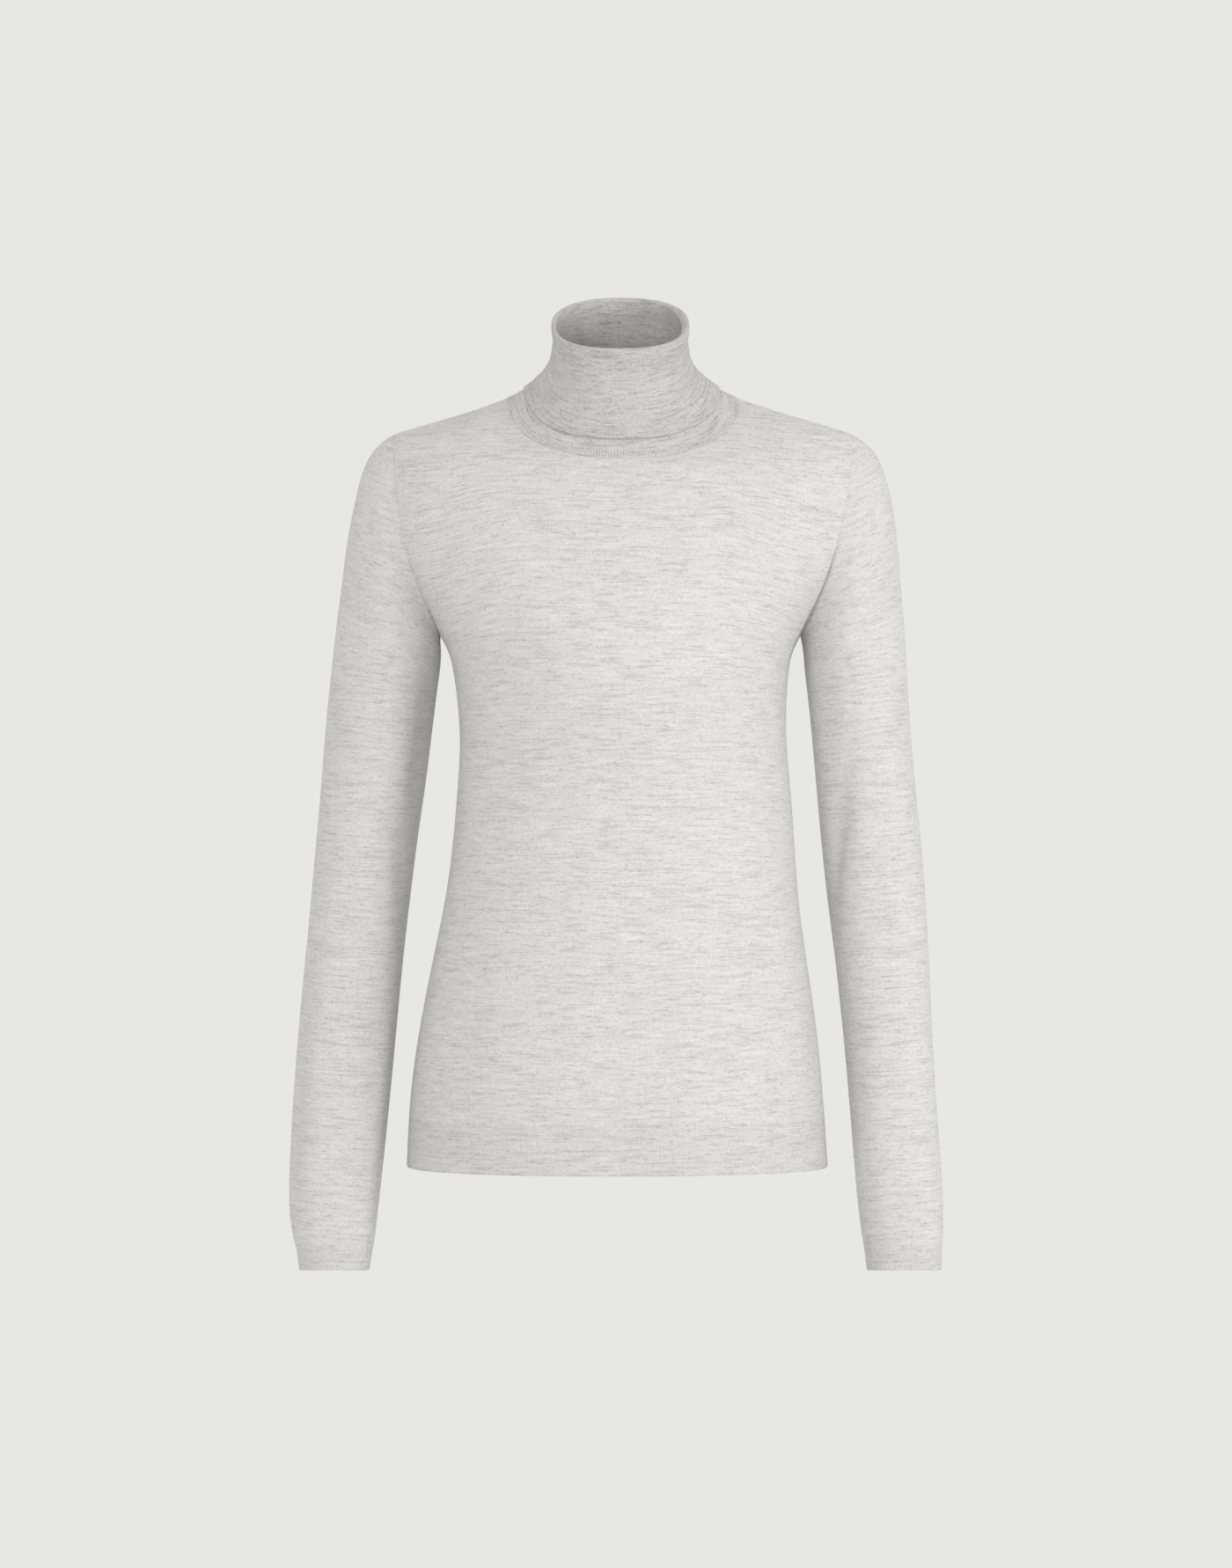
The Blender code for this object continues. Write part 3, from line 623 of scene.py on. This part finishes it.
def grid_quads(rows, columns, closed):
    """The row and the column of each corner of a grid's faces; columns aren't wrapped yet."""
    each_row = columns if closed else columns - 1
    i, j = np.divmod(np.arange((rows - 1) * each_row), each_row)
    corner_rows = np.stack([i, i, i + 1, i + 1], axis=1)
    corner_columns = np.stack([j, j + 1, j + 1, j], axis=1)
    return corner_rows, corner_columns


def new_object(name, data):
    made = bpy.data.objects.new(name, data)
    bpy.context.scene.collection.objects.link(made)
    return made


def build_mesh(name, points, quads, uvs, values):
    mesh = bpy.data.meshes.new(name)
    mesh.vertices.add(len(points))
    mesh.vertices.foreach_set("co", np.asarray(points, np.float32).ravel())
    mesh.loops.add(quads.size)
    mesh.loops.foreach_set("vertex_index", np.asarray(quads, np.int32).ravel())
    mesh.polygons.add(len(quads))
    mesh.polygons.foreach_set("loop_start", np.arange(0, quads.size, 4, dtype=np.int32))
    mesh.update(calc_edges=True)
    mesh.shade_smooth()
    mesh.set_sharp_from_angle(angle=math.radians(CREASE_ANGLE))
    layer = mesh.uv_layers.new(name="Knit")
    layer.uv.foreach_set("vector", np.asarray(uvs, np.float32).ravel())
    for key, value in values.items():
        layer = mesh.attributes.new(key, "FLOAT", "POINT")
        layer.data.foreach_set("value", np.asarray(value, np.float32).ravel())
    return new_object(name, mesh)


def shell_mesh(name, outer, inner, closed, u, v, values):
    """A closed thin wall between two grids.  u and v are the knit's own coordinates, in metres; on
    a closed grid they have one more column than the grid, so that the last face doesn't wrap.
    values holds what the knit's material reads at each grid point, outside and then inside."""
    rows, columns = outer.shape[:2]
    count = rows * columns
    corner_rows, corner_columns = grid_quads(rows, columns, closed)
    number = corner_rows * columns + corner_columns % columns
    uv = np.stack([u[corner_rows, corner_columns], v[corner_rows, corner_columns]], axis=-1)
    quads, uvs = [number, number[:, ::-1] + count], [uv, uv[:, ::-1]]

    def edge(a, b):
        """Faces across the wall's thickness between grid places a and b, each (rows, columns)."""
        first, second = a[0] * columns + a[1] % columns, b[0] * columns + b[1] % columns
        quads.append(np.stack([first, first + count, second + count, second], axis=1))
        one = np.stack([u[a[0], a[1]], v[a[0], a[1]]], axis=-1)
        other = np.stack([u[b[0], b[1]], v[b[0], b[1]]], axis=-1)
        uvs.append(np.stack([one, one, other, other], axis=1))

    j = np.arange(columns if closed else columns - 1)
    edge((0 * j, j), (0 * j, j + 1))
    edge((0 * j + rows - 1, j + 1), (0 * j + rows - 1, j))
    if not closed:
        i = np.arange(rows - 1)
        edge((i + 1, 0 * i), (i, 0 * i))
        edge((i, 0 * i + columns - 1), (i + 1, 0 * i + columns - 1))
    points = np.concatenate([outer.reshape(-1, 3), inner.reshape(-1, 3)])
    both = {key: np.concatenate([skin.ravel() for skin in pair]) for key, pair in values.items()}
    return build_mesh(name, points, np.concatenate(quads), np.concatenate(uvs), both)


# --- The knit's own coordinates -------

TABLE_ROWS, TABLE_COLUMNS = 240, 160
TABLE_HEIGHTS = np.linspace(HEM_EDGE, 0, TABLE_ROWS)
TABLE_SHARES = np.sin(np.linspace(0, math.pi / 2, TABLE_COLUMNS))


def arc_tables():
    """For each side of the body, the length round its section, by height and share of its width."""
    tables = {}
    for side in ("front", "back"):
        share, height = np.meshgrid(TABLE_SHARES, TABLE_HEIGHTS)
        x = share * half_width(height)
        y = section_out(side, share, height)
        steps = np.hypot(np.diff(x, axis=1), np.diff(y, axis=1))
        tables[side] = np.concatenate([np.zeros((len(x), 1)), np.cumsum(steps, axis=1)], axis=1)
    return tables


ARCS = arc_tables()


def wale_length():
    """Length up the cloth from the hem's edge, by height, taken near the middle of the body."""
    slope = np.gradient((front_depth(TABLE_HEIGHTS) + back_depth(TABLE_HEIGHTS)) / 2, TABLE_HEIGHTS)
    steps = np.hypot(1, slope)
    lengths = np.cumsum((steps[1:] + steps[:-1]) / 2 * np.diff(TABLE_HEIGHTS))
    return np.concatenate([[0], lengths])


WALE_LENGTH = wale_length()


DROP = 17.0  # how much lower the courses run beside the armholes than in the middle
DROP_FROM, DROP_FULL = 70.0, 165.0  # how far out that begins, and is complete
DROP_HEIGHT, DROP_REACH = -125.0, 80.0


def body_knit(grid, side):
    """u runs round the body along the courses, v up the wales."""
    x = grid[:, :, 0] / MM - lean(grid[:, :, 2] / MM)
    height = grid[:, :, 2] / MM
    share = np.clip(np.abs(x) / half_width(height), 0, 1)
    row = np.interp(height, TABLE_HEIGHTS, np.arange(TABLE_ROWS))
    column = np.interp(share, TABLE_SHARES, np.arange(TABLE_COLUMNS))
    i = np.clip(row.astype(int), 0, TABLE_ROWS - 2)
    j = np.clip(column.astype(int), 0, TABLE_COLUMNS - 2)
    a, b = row - i, column - j
    table = ARCS[side]
    arc = (1 - a) * ((1 - b) * table[i, j] + b * table[i, j + 1])
    arc += a * ((1 - b) * table[i + 1, j] + b * table[i + 1, j + 1])
    dropped = DROP * soft_step(np.abs(x), DROP_FROM, DROP_FULL)
    dropped = dropped * bell(height - DROP_HEIGHT, DROP_REACH)
    v = np.interp(height, TABLE_HEIGHTS, WALE_LENGTH) + dropped
    return np.sign(x) * arc * MM, v * MM


ARM_TILT, ARM_MIDDLE = 0.07, 180.0  # the courses' rise for each millimetre out from the middle
CAP_TILT, CAP_TILT_FROM, CAP_TILT_FULL = 0.52, -260.0, -60.0  # more of it, towards the top


def sleeve_knit(grid):
    """u runs round the arm from its outer line both ways, v up the arm; courses tilt at the cap."""
    around = along_rows(grid, closed=True)
    total = around[:, -1:]
    u = np.where(np.arange(around.shape[1]) < ARMHOLE_ROWS, around, around - total)
    full = np.concatenate([grid, grid[:, :1]], axis=1)
    height = full[:, :, 2] / MM
    tilt = ARM_TILT + CAP_TILT * soft_step(height, CAP_TILT_FROM, CAP_TILT_FULL)
    v = height - tilt * (np.abs(full[:, :, 0]) / MM - ARM_MIDDLE)
    return u * MM, v * MM


# --- Materials ------------------------

WALE = 1.35 * MM  # width of one stitch
COURSE = 1.15 * MM  # height of one stitch
RIB = 2.4 * MM  # pitch of the ribs along the bands
MEAN_TONE = 0.96  # what the yarn's tone comes to on average, round which its contrast is set

# The melange yarn's parts: their changes a metre along a course (and up the wales, where a part
# goes over several courses), and their shares of the tone
LONG_FLECKS, SHORT_FLECKS, GRAIN = 44.0, 210.0, 900.0
BANDS_ALONG, BANDS_UP = 45.0, 330.0
CLOUDS_ALONG, CLOUDS_UP = 34.0, 70.0
GRAIN_SHARE, BANDS_SHARE, CLOUDS_SHARE = 0.24, 0.12, 0.08
COURSE_STEP = 5.37  # how far apart neighbouring courses read the noise
SHORT_START, GRAIN_START = 31.7, 67.9  # and how far from the long flecks these two read it
Fleck = namedtuple("Fleck", "starts full tone")
LONG_DARK = Fleck(0.50, 0.28, -0.14)
LONG_PALE = Fleck(0.52, 0.72, 0.07)
SHORT_DARK = Fleck(0.44, 0.24, -0.13)

LEG_SLANT = 1.1  # how many courses a stitch's leg climbs over one wale
RIB_HEIGHT = 0.75
RIB_PAINTED_SHADE = 0.024  # painted light on a rib's crest and painted shade in its valley: how much paler and darker their tone is
FUZZ, FUZZ_HEIGHT, TONE_HEIGHT = 1100.0, 0.5, 1.2
BUMP_STRENGTH, BUMP_DEPTH = 0.45, 0.16 * MM
ROUGHNESS, ROUGHNESS_SPREAD = 0.84, 0.12
SPECULAR, SHEEN, SHEEN_ROUGHNESS = 0.18, 0.22, 0.55


class Tree:
    """Builds a node tree in short calls."""

    def __init__(self, tree):
        self.tree = tree

    def feed(self, node, inputs):
        """Links or sets a node's inputs."""
        for key, value in dict(inputs).items():
            if isinstance(value, bpy.types.NodeSocket):
                self.tree.links.new(value, node.inputs[key])
            else:
                node.inputs[key].default_value = value

    def node(self, kind, inputs=(), **settings):
        made = self.tree.nodes.new(kind)
        for key, value in settings.items():
            setattr(made, key, value)
        self.feed(made, inputs)
        return made

    def math(self, operation, *values):
        return self.node("ShaderNodeMath", enumerate(values), operation=operation).outputs[0]

    def point(self, x, y):
        return self.node("ShaderNodeCombineXYZ", {"X": x, "Y": y}).outputs[0]

    def noise(self, place, detail, roughness, scale=1.0):
        settings = {"Vector": place, "Scale": scale, "Detail": detail, "Roughness": roughness}
        return self.node("ShaderNodeTexNoise", settings, noise_dimensions="2D").outputs[0]

    def fleck(self, value, fleck, tone):
        """Adds a fleck to the tone as the value passes from its start to its full depth."""
        settings = {"Value": value, "From Min": fleck.starts, "From Max": fleck.full}
        eased = self.node("ShaderNodeMapRange", settings, interpolation_type="SMOOTHSTEP")
        return self.math("MULTIPLY_ADD", eased.outputs[0], fleck.tone, tone)


def new_material(name):
    """A new material, the builder of its tree and its shader."""
    material = bpy.data.materials.new(name)
    material.use_nodes = True
    return material, Tree(material.node_tree), material.node_tree.nodes["Principled BSDF"]


def yarn_tone(tree, u, v, seed):
    """The melange yarn: short paler and darker lengths along single courses, over softer clouds."""

    def noise(along, up, *texture):
        return tree.noise(tree.point(tree.math("MULTIPLY", u, along), up), *texture)

    course = tree.math("FLOOR", tree.math("DIVIDE", v, COURSE))
    apart = tree.math("MULTIPLY_ADD", course, COURSE_STEP, seed)
    long_flecks = noise(LONG_FLECKS, apart, 2.0, 0.55)
    short_flecks = noise(SHORT_FLECKS, tree.math("ADD", apart, SHORT_START), 1.0, 0.5)
    grain = noise(GRAIN, tree.math("ADD", apart, GRAIN_START), 0.0, 0.5)
    soft_bands = noise(BANDS_ALONG, tree.math("MULTIPLY", v, BANDS_UP), 2.0, 0.6)
    clouds = noise(CLOUDS_ALONG, tree.math("MULTIPLY", v, CLOUDS_UP), 2.0, 0.5)
    tone = tree.fleck(long_flecks, LONG_DARK, 1.0)
    tone = tree.fleck(long_flecks, LONG_PALE, tone)
    tone = tree.fleck(short_flecks, SHORT_DARK, tone)
    softer = (grain, GRAIN_SHARE), (soft_bands, BANDS_SHARE), (clouds, CLOUDS_SHARE)
    for part, share in softer:
        tone = tree.math("MULTIPLY_ADD", tree.math("SUBTRACT", part, 0.5), share, tone)
    return tone


def stitch_height(tree, u, v, ribs):
    """Height of the knit: the two legs of each stitch, and the ribs' own wave."""
    wale = tree.math("DIVIDE", u, WALE)
    leg = tree.math("ABSOLUTE", tree.math("SUBTRACT", tree.math("FRACT", wale), 0.5))
    turn = tree.math("MULTIPLY_ADD", leg, LEG_SLANT, tree.math("DIVIDE", v, COURSE))
    wave = tree.math("COSINE", tree.math("MULTIPLY", turn, 2 * math.pi))
    wave = tree.math("MULTIPLY_ADD", wave, 0.5, 0.5)
    legs = tree.math("SINE", tree.math("MULTIPLY", leg, 2 * math.pi))
    jersey = tree.math("MULTIPLY", legs, tree.math("MULTIPLY_ADD", wave, 0.5, 0.5))
    return tree.math("MULTIPLY_ADD", ribs, RIB_HEIGHT, jersey)


def knit_material(name, colour, seed, contrast=1.0):
    """The knit.  It reads the height of the ribs and the painted shade of the tone (the "depth"
    attribute) from the mesh, and paints shade into the ribs' valleys.
    """
    material, tree, shader = new_material(name)
    place = tree.node("ShaderNodeUVMap", uv_map="Knit").outputs[0]
    split = tree.node("ShaderNodeSeparateXYZ", {0: place})
    u, v = split.outputs[0], split.outputs[1]
    rib = tree.node("ShaderNodeAttribute", attribute_name="rib").outputs["Fac"]
    wave = tree.math("COSINE", tree.math("MULTIPLY", u, 2 * math.pi / RIB))
    ribs = tree.math("MULTIPLY", wave, rib)
    tone = yarn_tone(tree, u, v, seed)
    tone = tree.math("MULTIPLY_ADD", tree.math("SUBTRACT", tone, MEAN_TONE), contrast, MEAN_TONE)
    # painted shade from the mesh's "depth" attribute darkens the tone; where it is negative it is
    # painted light
    depth = tree.node("ShaderNodeAttribute", attribute_name="depth").outputs["Fac"]
    tone = tree.math("MULTIPLY", tone, tree.math("SUBTRACT", 1.0, depth))
    # painted shade in the ribs' valleys and painted light on their crests
    tone = tree.math("MULTIPLY", tone, tree.math("MULTIPLY_ADD", ribs, RIB_PAINTED_SHADE, 1.0))
    shade = tree.node("ShaderNodeVectorMath", {0: colour, "Scale": tone}, operation="SCALE")
    fuzz = tree.noise(place, 2.0, 0.6, scale=FUZZ)
    height = tree.math("MULTIPLY_ADD", fuzz, FUZZ_HEIGHT, stitch_height(tree, u, v, ribs))
    height = tree.math("MULTIPLY_ADD", tone, TONE_HEIGHT, height)
    settings = {"Strength": BUMP_STRENGTH, "Distance": BUMP_DEPTH, "Height": height}
    looks = {
        "Base Color": shade.outputs[0],
        "Normal": tree.node("ShaderNodeBump", settings).outputs[0],
        "Roughness": tree.math("MULTIPLY_ADD", fuzz, ROUGHNESS_SPREAD, ROUGHNESS),
        "Specular IOR Level": SPECULAR,
        "Sheen Weight": SHEEN,
        "Sheen Roughness": SHEEN_ROUGHNESS,
    }
    tree.feed(shader, looks)
    return material


JERSEY = knit_material("heather_jersey", (0.517, 0.510, 0.507), 3.1)
BANDS = knit_material("heather_band", (0.496, 0.490, 0.487), 8.7)
COLLAR = knit_material("heather_collar", (0.425, 0.419, 0.416), 14.3, contrast=1.35)


def dress(piece, material, node):
    """Gives a piece of cloth its material, hides its CAD node and attaches it to the root body."""
    piece.data.materials.append(material)
    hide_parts(node)
    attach(piece, "root")


# --- The collar -----------------------

COLLAR_ROUND = 0.54  # metres round the collar in its knit's own coordinates
RIM_PUFF, RIM_PUFF_ROUND = 2.4, 0.3  # the rolled rim's swelling at the left, and all round
RIM_PUFF_POWER = 3  # how narrow the swelling at the left is
RIM_PUFF_REACH, RIM_SINK_REACH = 8.0, 4.0  # how far down it swells, and sinks by half as much
UNDER_RIM, UNDER_RIM_AT, UNDER_RIM_WIDTH = 1.3, 11.0, 6.0  # the shallow waist below the rim
EDGE_CROWDING = 1.7  # draws the turned-down layer's rows closer together towards its edge
EDGE_RADIUS, EDGE_RADIUS_SIDE = 0.7, 1.3  # how round that edge is, and how round at the sides
EDGE_FLARE, EDGE_FLARE_WIDTH = 0.40, 2.6
EDGE_LINE, EDGE_LINE_AT, EDGE_LINE_WIDTH = 0.12, 2.6, 0.7
LAYER_GAP_AT_SIDE = 0.15 * MM
GAP_OPENS_OVER = 14.0  # how far above the edge the gap between the layers is fully open
COLLAR_RIB = 0.35  # how tall the ribs are on most of the collar, as a share of the bands'
EDGE_RIB, EDGE_RIB_REACH = 2.2, 5.0  # how much taller towards the turned-down edge
LINK_RIB, LINK_RIB_AT, LINK_RIB_WIDTH = 4.5, 3.2, 3.0  # and in the linking at the neckline
INSIDE_PAINTED_SHADE, INSIDE_FADE = 0.16, 14.0  # painted shade: how much darker the tone is inside the collar, where shade falls
UNDER_RIM_PAINTED_SHADE, UNDER_RIM_FADE = 0.07, 14.0  # painted shade: the same outside, below the rim
STAND_PAINTED_LIGHT = -0.06  # and painted light, a paler tone, on the standing layer, which shows below the turned-down one in that edge's shadow


def collar_ends(turned):
    """Where the turned-down layer ends round the collar, as parts of its height."""
    return TURN_DOWN_SIDE + (TURN_DOWN_FRONT - TURN_DOWN_SIDE) * np.sin(turned) ** 2


def along_stand(stand, climbed):
    """Points of the standing layer at each column's own part of its height."""
    steps = np.linspace(0, 1, len(stand)) ** STAND_STEP_POWER
    points = np.empty((stand.shape[1], 3))
    for j, part in enumerate(climbed):
        for axis in range(3):
            points[j, axis] = np.interp(part, steps, stand[:, j, axis])
    return points


def rim_puff(turned):
    """How much the rolled rim swells inwards, in metres: most at the wearer's left."""
    facing = 0.5 - 0.5 * np.cos(turned)
    return (RIM_PUFF * facing**RIM_PUFF_POWER + RIM_PUFF_ROUND) * MM


def edge_relief(from_edge, from_rim, crisp):
    """Outward relief of the turned-down layer.  crisp is 1 where its edge stands off the layer
    beneath, in front and behind, and 0 where it lies down on it, at the sides."""
    radius = EDGE_RADIUS_SIDE + (EDGE_RADIUS - EDGE_RADIUS_SIDE) * crisp
    nearness = np.clip(1 - from_edge / radius, 0, 1)
    rounding = radius * (1 - np.sqrt(1 - nearness**2))
    bead = EDGE_FLARE * crisp * bell(from_edge, EDGE_FLARE_WIDTH)
    line = EDGE_LINE * bell(from_edge - EDGE_LINE_AT, EDGE_LINE_WIDTH)
    waist = UNDER_RIM * bell(from_rim - UNDER_RIM_AT, UNDER_RIM_WIDTH)
    return bead - line - rounding - waist


def collar_skins(stand, inward):
    """The collar's two faces: up inside, over the rim and down outside, clear of each other."""
    out = -unit(inward)
    up = unit(stand[-1] - stand[-2])
    turned = np.linspace(0, 2 * math.pi, stand.shape[1] + 1)[:-1]
    crisp = (np.sin(turned) ** 2)[:, None]
    puff = rim_puff(turned)[:, None]
    below = np.linalg.norm(stand - stand[-1], axis=2)[:, :, None] / MM
    swollen = stand - out * puff * bell(below, RIM_PUFF_REACH)
    swollen -= up * puff / 2 * bell(below, RIM_SINK_REACH)
    inner_skin = stand + inward
    inner_skin[1:] = swollen[1:] - out[1:] * CLOTH
    ends = collar_ends(turned)
    paths = []
    for share in np.linspace(1, 0, TURNED_STEPS + 1) ** EDGE_CROWDING:
        climbed = ends + (1 - ends) * share
        paths.append((along_stand(stand, climbed), unit(along_stand(out, climbed))))
    edge_points = paths[-1][0]
    edge_gap = LAYER_GAP_AT_SIDE + (LAYER_GAP_AT_EDGE - LAYER_GAP_AT_SIDE) * crisp
    turned_in, turned_out = [], []
    for points, ways in paths:
        from_edge = np.linalg.norm(points - edge_points, axis=1)[:, None] / MM
        from_rim = np.linalg.norm(points - stand[-1], axis=1)[:, None] / MM
        gap = edge_gap + (LAYER_GAP - edge_gap) * np.minimum(1, from_edge / GAP_OPENS_OVER)
        rise = edge_relief(from_edge, from_rim, crisp) * MM
        turned_in.append(points + ways * (gap + np.clip(rise, 0, None)))
        turned_out.append(points + ways * (gap + CLOTH + rise))
    start = swollen[-1]
    middle = (start + turned_in[0]) / 2
    half = np.linalg.norm(turned_in[0] - start, axis=1)[:, None] / 2
    outer_roll, inner_roll = [], []
    for angle in np.linspace(0, math.pi, ROLL_STEPS + 1)[1:-1]:
        way = up * math.sin(angle) - unit(turned_in[0] - start) * math.cos(angle)
        outer_roll.append(middle + way * (half + CLOTH))
        inner_roll.append(middle + way * half)
    swollen[0] = stand[0]
    outer = np.array(list(inner_skin) + outer_roll + turned_out)
    return outer, np.array(list(swollen) + inner_roll + turned_in)


def collar_piece(stand, inward):
    """One tube of cloth, with how tall its ribs are up the cloth, and its painted shade: darker
    inside and below the rim, paler on the standing layer.
    """
    outer, inner = collar_skins(stand, inward)
    columns = stand.shape[1]
    up_cloth = along_columns(outer[:, COLUMNS // 2 : COLUMNS // 2 + 1])[:, 0]
    around = along_rows(outer[:1], closed=True)[0]
    u = np.repeat((around / around[-1] * COLLAR_ROUND)[None, :], len(outer), axis=0)
    v = np.repeat(up_cloth[:, None] * MM, columns + 1, axis=1)
    rib = COLLAR_RIB + EDGE_RIB * bell(up_cloth[-1] - up_cloth, EDGE_RIB_REACH, 4)
    rib += LINK_RIB * bell(up_cloth - LINK_RIB_AT, LINK_RIB_WIDTH, 4)
    rib = np.repeat(rib[:, None], columns, axis=1)
    roll_start = up_cloth[len(stand) - 1]
    # painted shade inside the collar and below its rim, carried in the "depth" attribute
    inside = 1 - soft_step(up_cloth, roll_start - INSIDE_FADE, roll_start)
    past_rim = up_cloth - up_cloth[len(stand) + ROLL_STEPS // 2]
    under_rim = bell(past_rim - UNDER_RIM_AT, UNDER_RIM_FADE)
    painted_shade = INSIDE_PAINTED_SHADE * inside + UNDER_RIM_PAINTED_SHADE * under_rim * (past_rim > 0)
    painted_shade = np.repeat(painted_shade[:, None], columns, axis=1)
    # the second skin gets painted light: a paler tone on the standing layer
    values = {"rib": (rib, rib), "depth": (painted_shade, 0 * painted_shade + STAND_PAINTED_LIGHT)}
    return shell_mesh("collar_knit", outer[:, ::-1], inner[:, ::-1], True, u, v, values)


# --- Building the pieces --------------

front, back = panel_grid("front"), panel_grid("back")
grids = {
    "front": front,
    "back": back[:, ::-1],
    "hem_front": hem_grid("front"),
    "hem_back": hem_grid("back")[:, ::-1],
    "collar": collar_stand(front, back),
}
SIGNS = {"left": 1, "right": -1}
for side_name, side_sign in SIGNS.items():
    sleeve = sleeve_grid("sleeve_" + side_name, side_sign)
    cuff = cuff_grid(sleeve, side_sign)
    grids["sleeve_" + side_name] = sleeve if side_sign > 0 else sleeve[:, ::-1]
    grids["cuff_" + side_name] = cuff if side_sign > 0 else cuff[:, ::-1]
TUBES = ("collar", "sleeve_left", "sleeve_right", "cuff_left", "cuff_right")
BOTH, FIRST, LAST = (0, -1), (0,), (-1,)
SEAM_ENDS = {
    "front": {"rows": BOTH, "columns": BOTH},
    "back": {"rows": BOTH, "columns": BOTH},
    "hem_front": {"rows": LAST, "columns": BOTH},
    "hem_back": {"rows": LAST, "columns": BOTH},
    "collar": {"rows": FIRST},
    "sleeve_left": {"rows": BOTH},
    "sleeve_right": {"rows": BOTH},
    "cuff_left": {"rows": FIRST},
    "cuff_right": {"rows": FIRST},
}
inward = inward_offsets(grids, TUBES)


def finished(name):
    """A piece's outer and inner grids: drawn back from its seams, with their relief outside."""
    base = drawn_back(grids[name], inward[name], name in TUBES, **SEAM_ENDS[name])
    if name in ("front", "back"):
        rise = panel_relief(base)
    elif name.startswith("sleeve"):
        rise = sleeve_relief(base, 1 if name == "sleeve_left" else -1)
    elif name.startswith("cuff"):
        rise = band_relief(base[::-1], True)[::-1]
    else:
        rise = band_relief(base, False)
    return base - unit(inward[name]) * rise[:, :, None] * MM, base + inward[name]


def body_piece(name, side):
    outer, inner = finished(name)
    u, v = body_knit(outer, side)
    rib = np.full(u.shape, float(name.startswith("hem")))
    return shell_mesh(name + "_knit", outer, inner, False, u, v, {"rib": (rib, rib)})


def tube_piece(name, sign):
    """A sleeve or a cuff.  The right arm's grids run the other way round, and so does its knit."""
    outer, inner = finished(name)
    u, v = (part[:, ::sign] for part in sleeve_knit(outer[:, ::sign]))
    rib = np.full(outer.shape[:2], float(name.startswith("cuff")))
    return shell_mesh(name + "_knit", outer, inner, True, u, v, {"rib": (rib, rib)})


dress(body_piece("front", "front"), JERSEY, "front")
dress(body_piece("back", "back"), JERSEY, "back")
dress(body_piece("hem_front", "front"), BANDS, "hem_front")
dress(body_piece("hem_back", "back"), BANDS, "hem_back")
for side_name, side_sign in SIGNS.items():
    name = "sleeve_" + side_name
    dress(tube_piece(name, side_sign), JERSEY, name)
    name = "cuff_" + side_name
    dress(tube_piece(name, side_sign), BANDS, name)
collar_in = inward["collar"]
stand = drawn_back(grids["collar"], collar_in, True, **SEAM_ENDS["collar"])
dress(collar_piece(stand, collar_in), COLLAR, "collar")

# --- Camera, lights and stage ---------

CAMERA_AT = (-3.4 * MM, -3.9, -298.5 * MM)
PHOTO_ROWS, ROW_HEIGHT = 1782, 0.68
VIEW_HEIGHT = PHOTO_ROWS * ROW_HEIGHT * MM  # what the camera sees at the origin's depth
SENSOR = 36.0
STAGE_GREY = (0.799, 0.799, 0.783)
FLOOR_GREY = (0.1, 0.1, 0.1, 1.0)
FLOOR_GLOW = 0.9
FLOOR_HEIGHT, FLOOR_REACH = -1.36, 60.0  # metres


def add_camera():
    data = bpy.data.cameras.new("camera")
    data.sensor_width = SENSOR
    data.lens = SENSOR * -CAMERA_AT[1] / VIEW_HEIGHT
    camera = new_object("camera", data)
    camera.location = CAMERA_AT
    camera.rotation_euler = (math.pi / 2, 0.0, 0.0)
    bpy.context.scene.camera = camera


Lamp = namedtuple("Lamp", "name turned raised power")
LAMPS = [  # degrees from straight ahead towards the garment's left, degrees up, watts
    Lamp("front", 0.0, 5.0, 14.5),
    Lamp("left_key", 60.0, 7.0, 23.5),
    Lamp("right_fill", -25.0, 10.0, 11.0),
    Lamp("back", 180.0, 15.0, 24.0),
]
LAMP_SIZE, LAMP_AWAY = 0.9, 2.4  # metres
AIM = (0.0, 0.0, -0.3)  # metres; the lamps stand round this point and face it


def add_lamp(lamp):
    data = bpy.data.lights.new(lamp.name, "AREA")
    data.shape = "DISK"
    data.size = LAMP_SIZE
    data.energy = lamp.power
    made = new_object(lamp.name, data)
    turned, raised = math.radians(lamp.turned), math.radians(lamp.raised)
    level = math.cos(raised)
    way = Vector((math.sin(turned) * level, -math.cos(turned) * level, math.sin(raised)))
    made.location = Vector(AIM) + way * LAMP_AWAY
    made.rotation_euler = way.to_track_quat("Z", "Y").to_euler()


def add_stage():
    """A wide pale floor well below the garment, as bright as the studio round it."""
    material, tree, shader = new_material("floor")
    looks = {
        "Base Color": FLOOR_GREY,
        "Roughness": 1.0,
        "Specular IOR Level": 0.0,
        "Emission Color": (*STAGE_GREY, 1.0),
        "Emission Strength": FLOOR_GLOW,
    }
    tree.feed(shader, looks)
    mesh = bpy.data.meshes.new("floor")
    ends = ((-1, -1), (1, -1), (1, 1), (-1, 1))
    corners = [(x * FLOOR_REACH, y * FLOOR_REACH, FLOOR_HEIGHT) for x, y in ends]
    mesh.from_pydata(corners, [], [(0, 1, 2, 3)])
    mesh.materials.append(material)
    floor = new_object("floor", mesh)
    world = bpy.data.worlds.new("studio")
    world.use_nodes = True
    world.node_tree.nodes["Background"].inputs["Color"].default_value = (*STAGE_GREY, 1.0)
    bpy.context.scene.world = world


add_camera()
for lamp in LAMPS:
    add_lamp(lamp)
add_stage()
bpy.context.scene.view_settings.view_transform = "Standard"
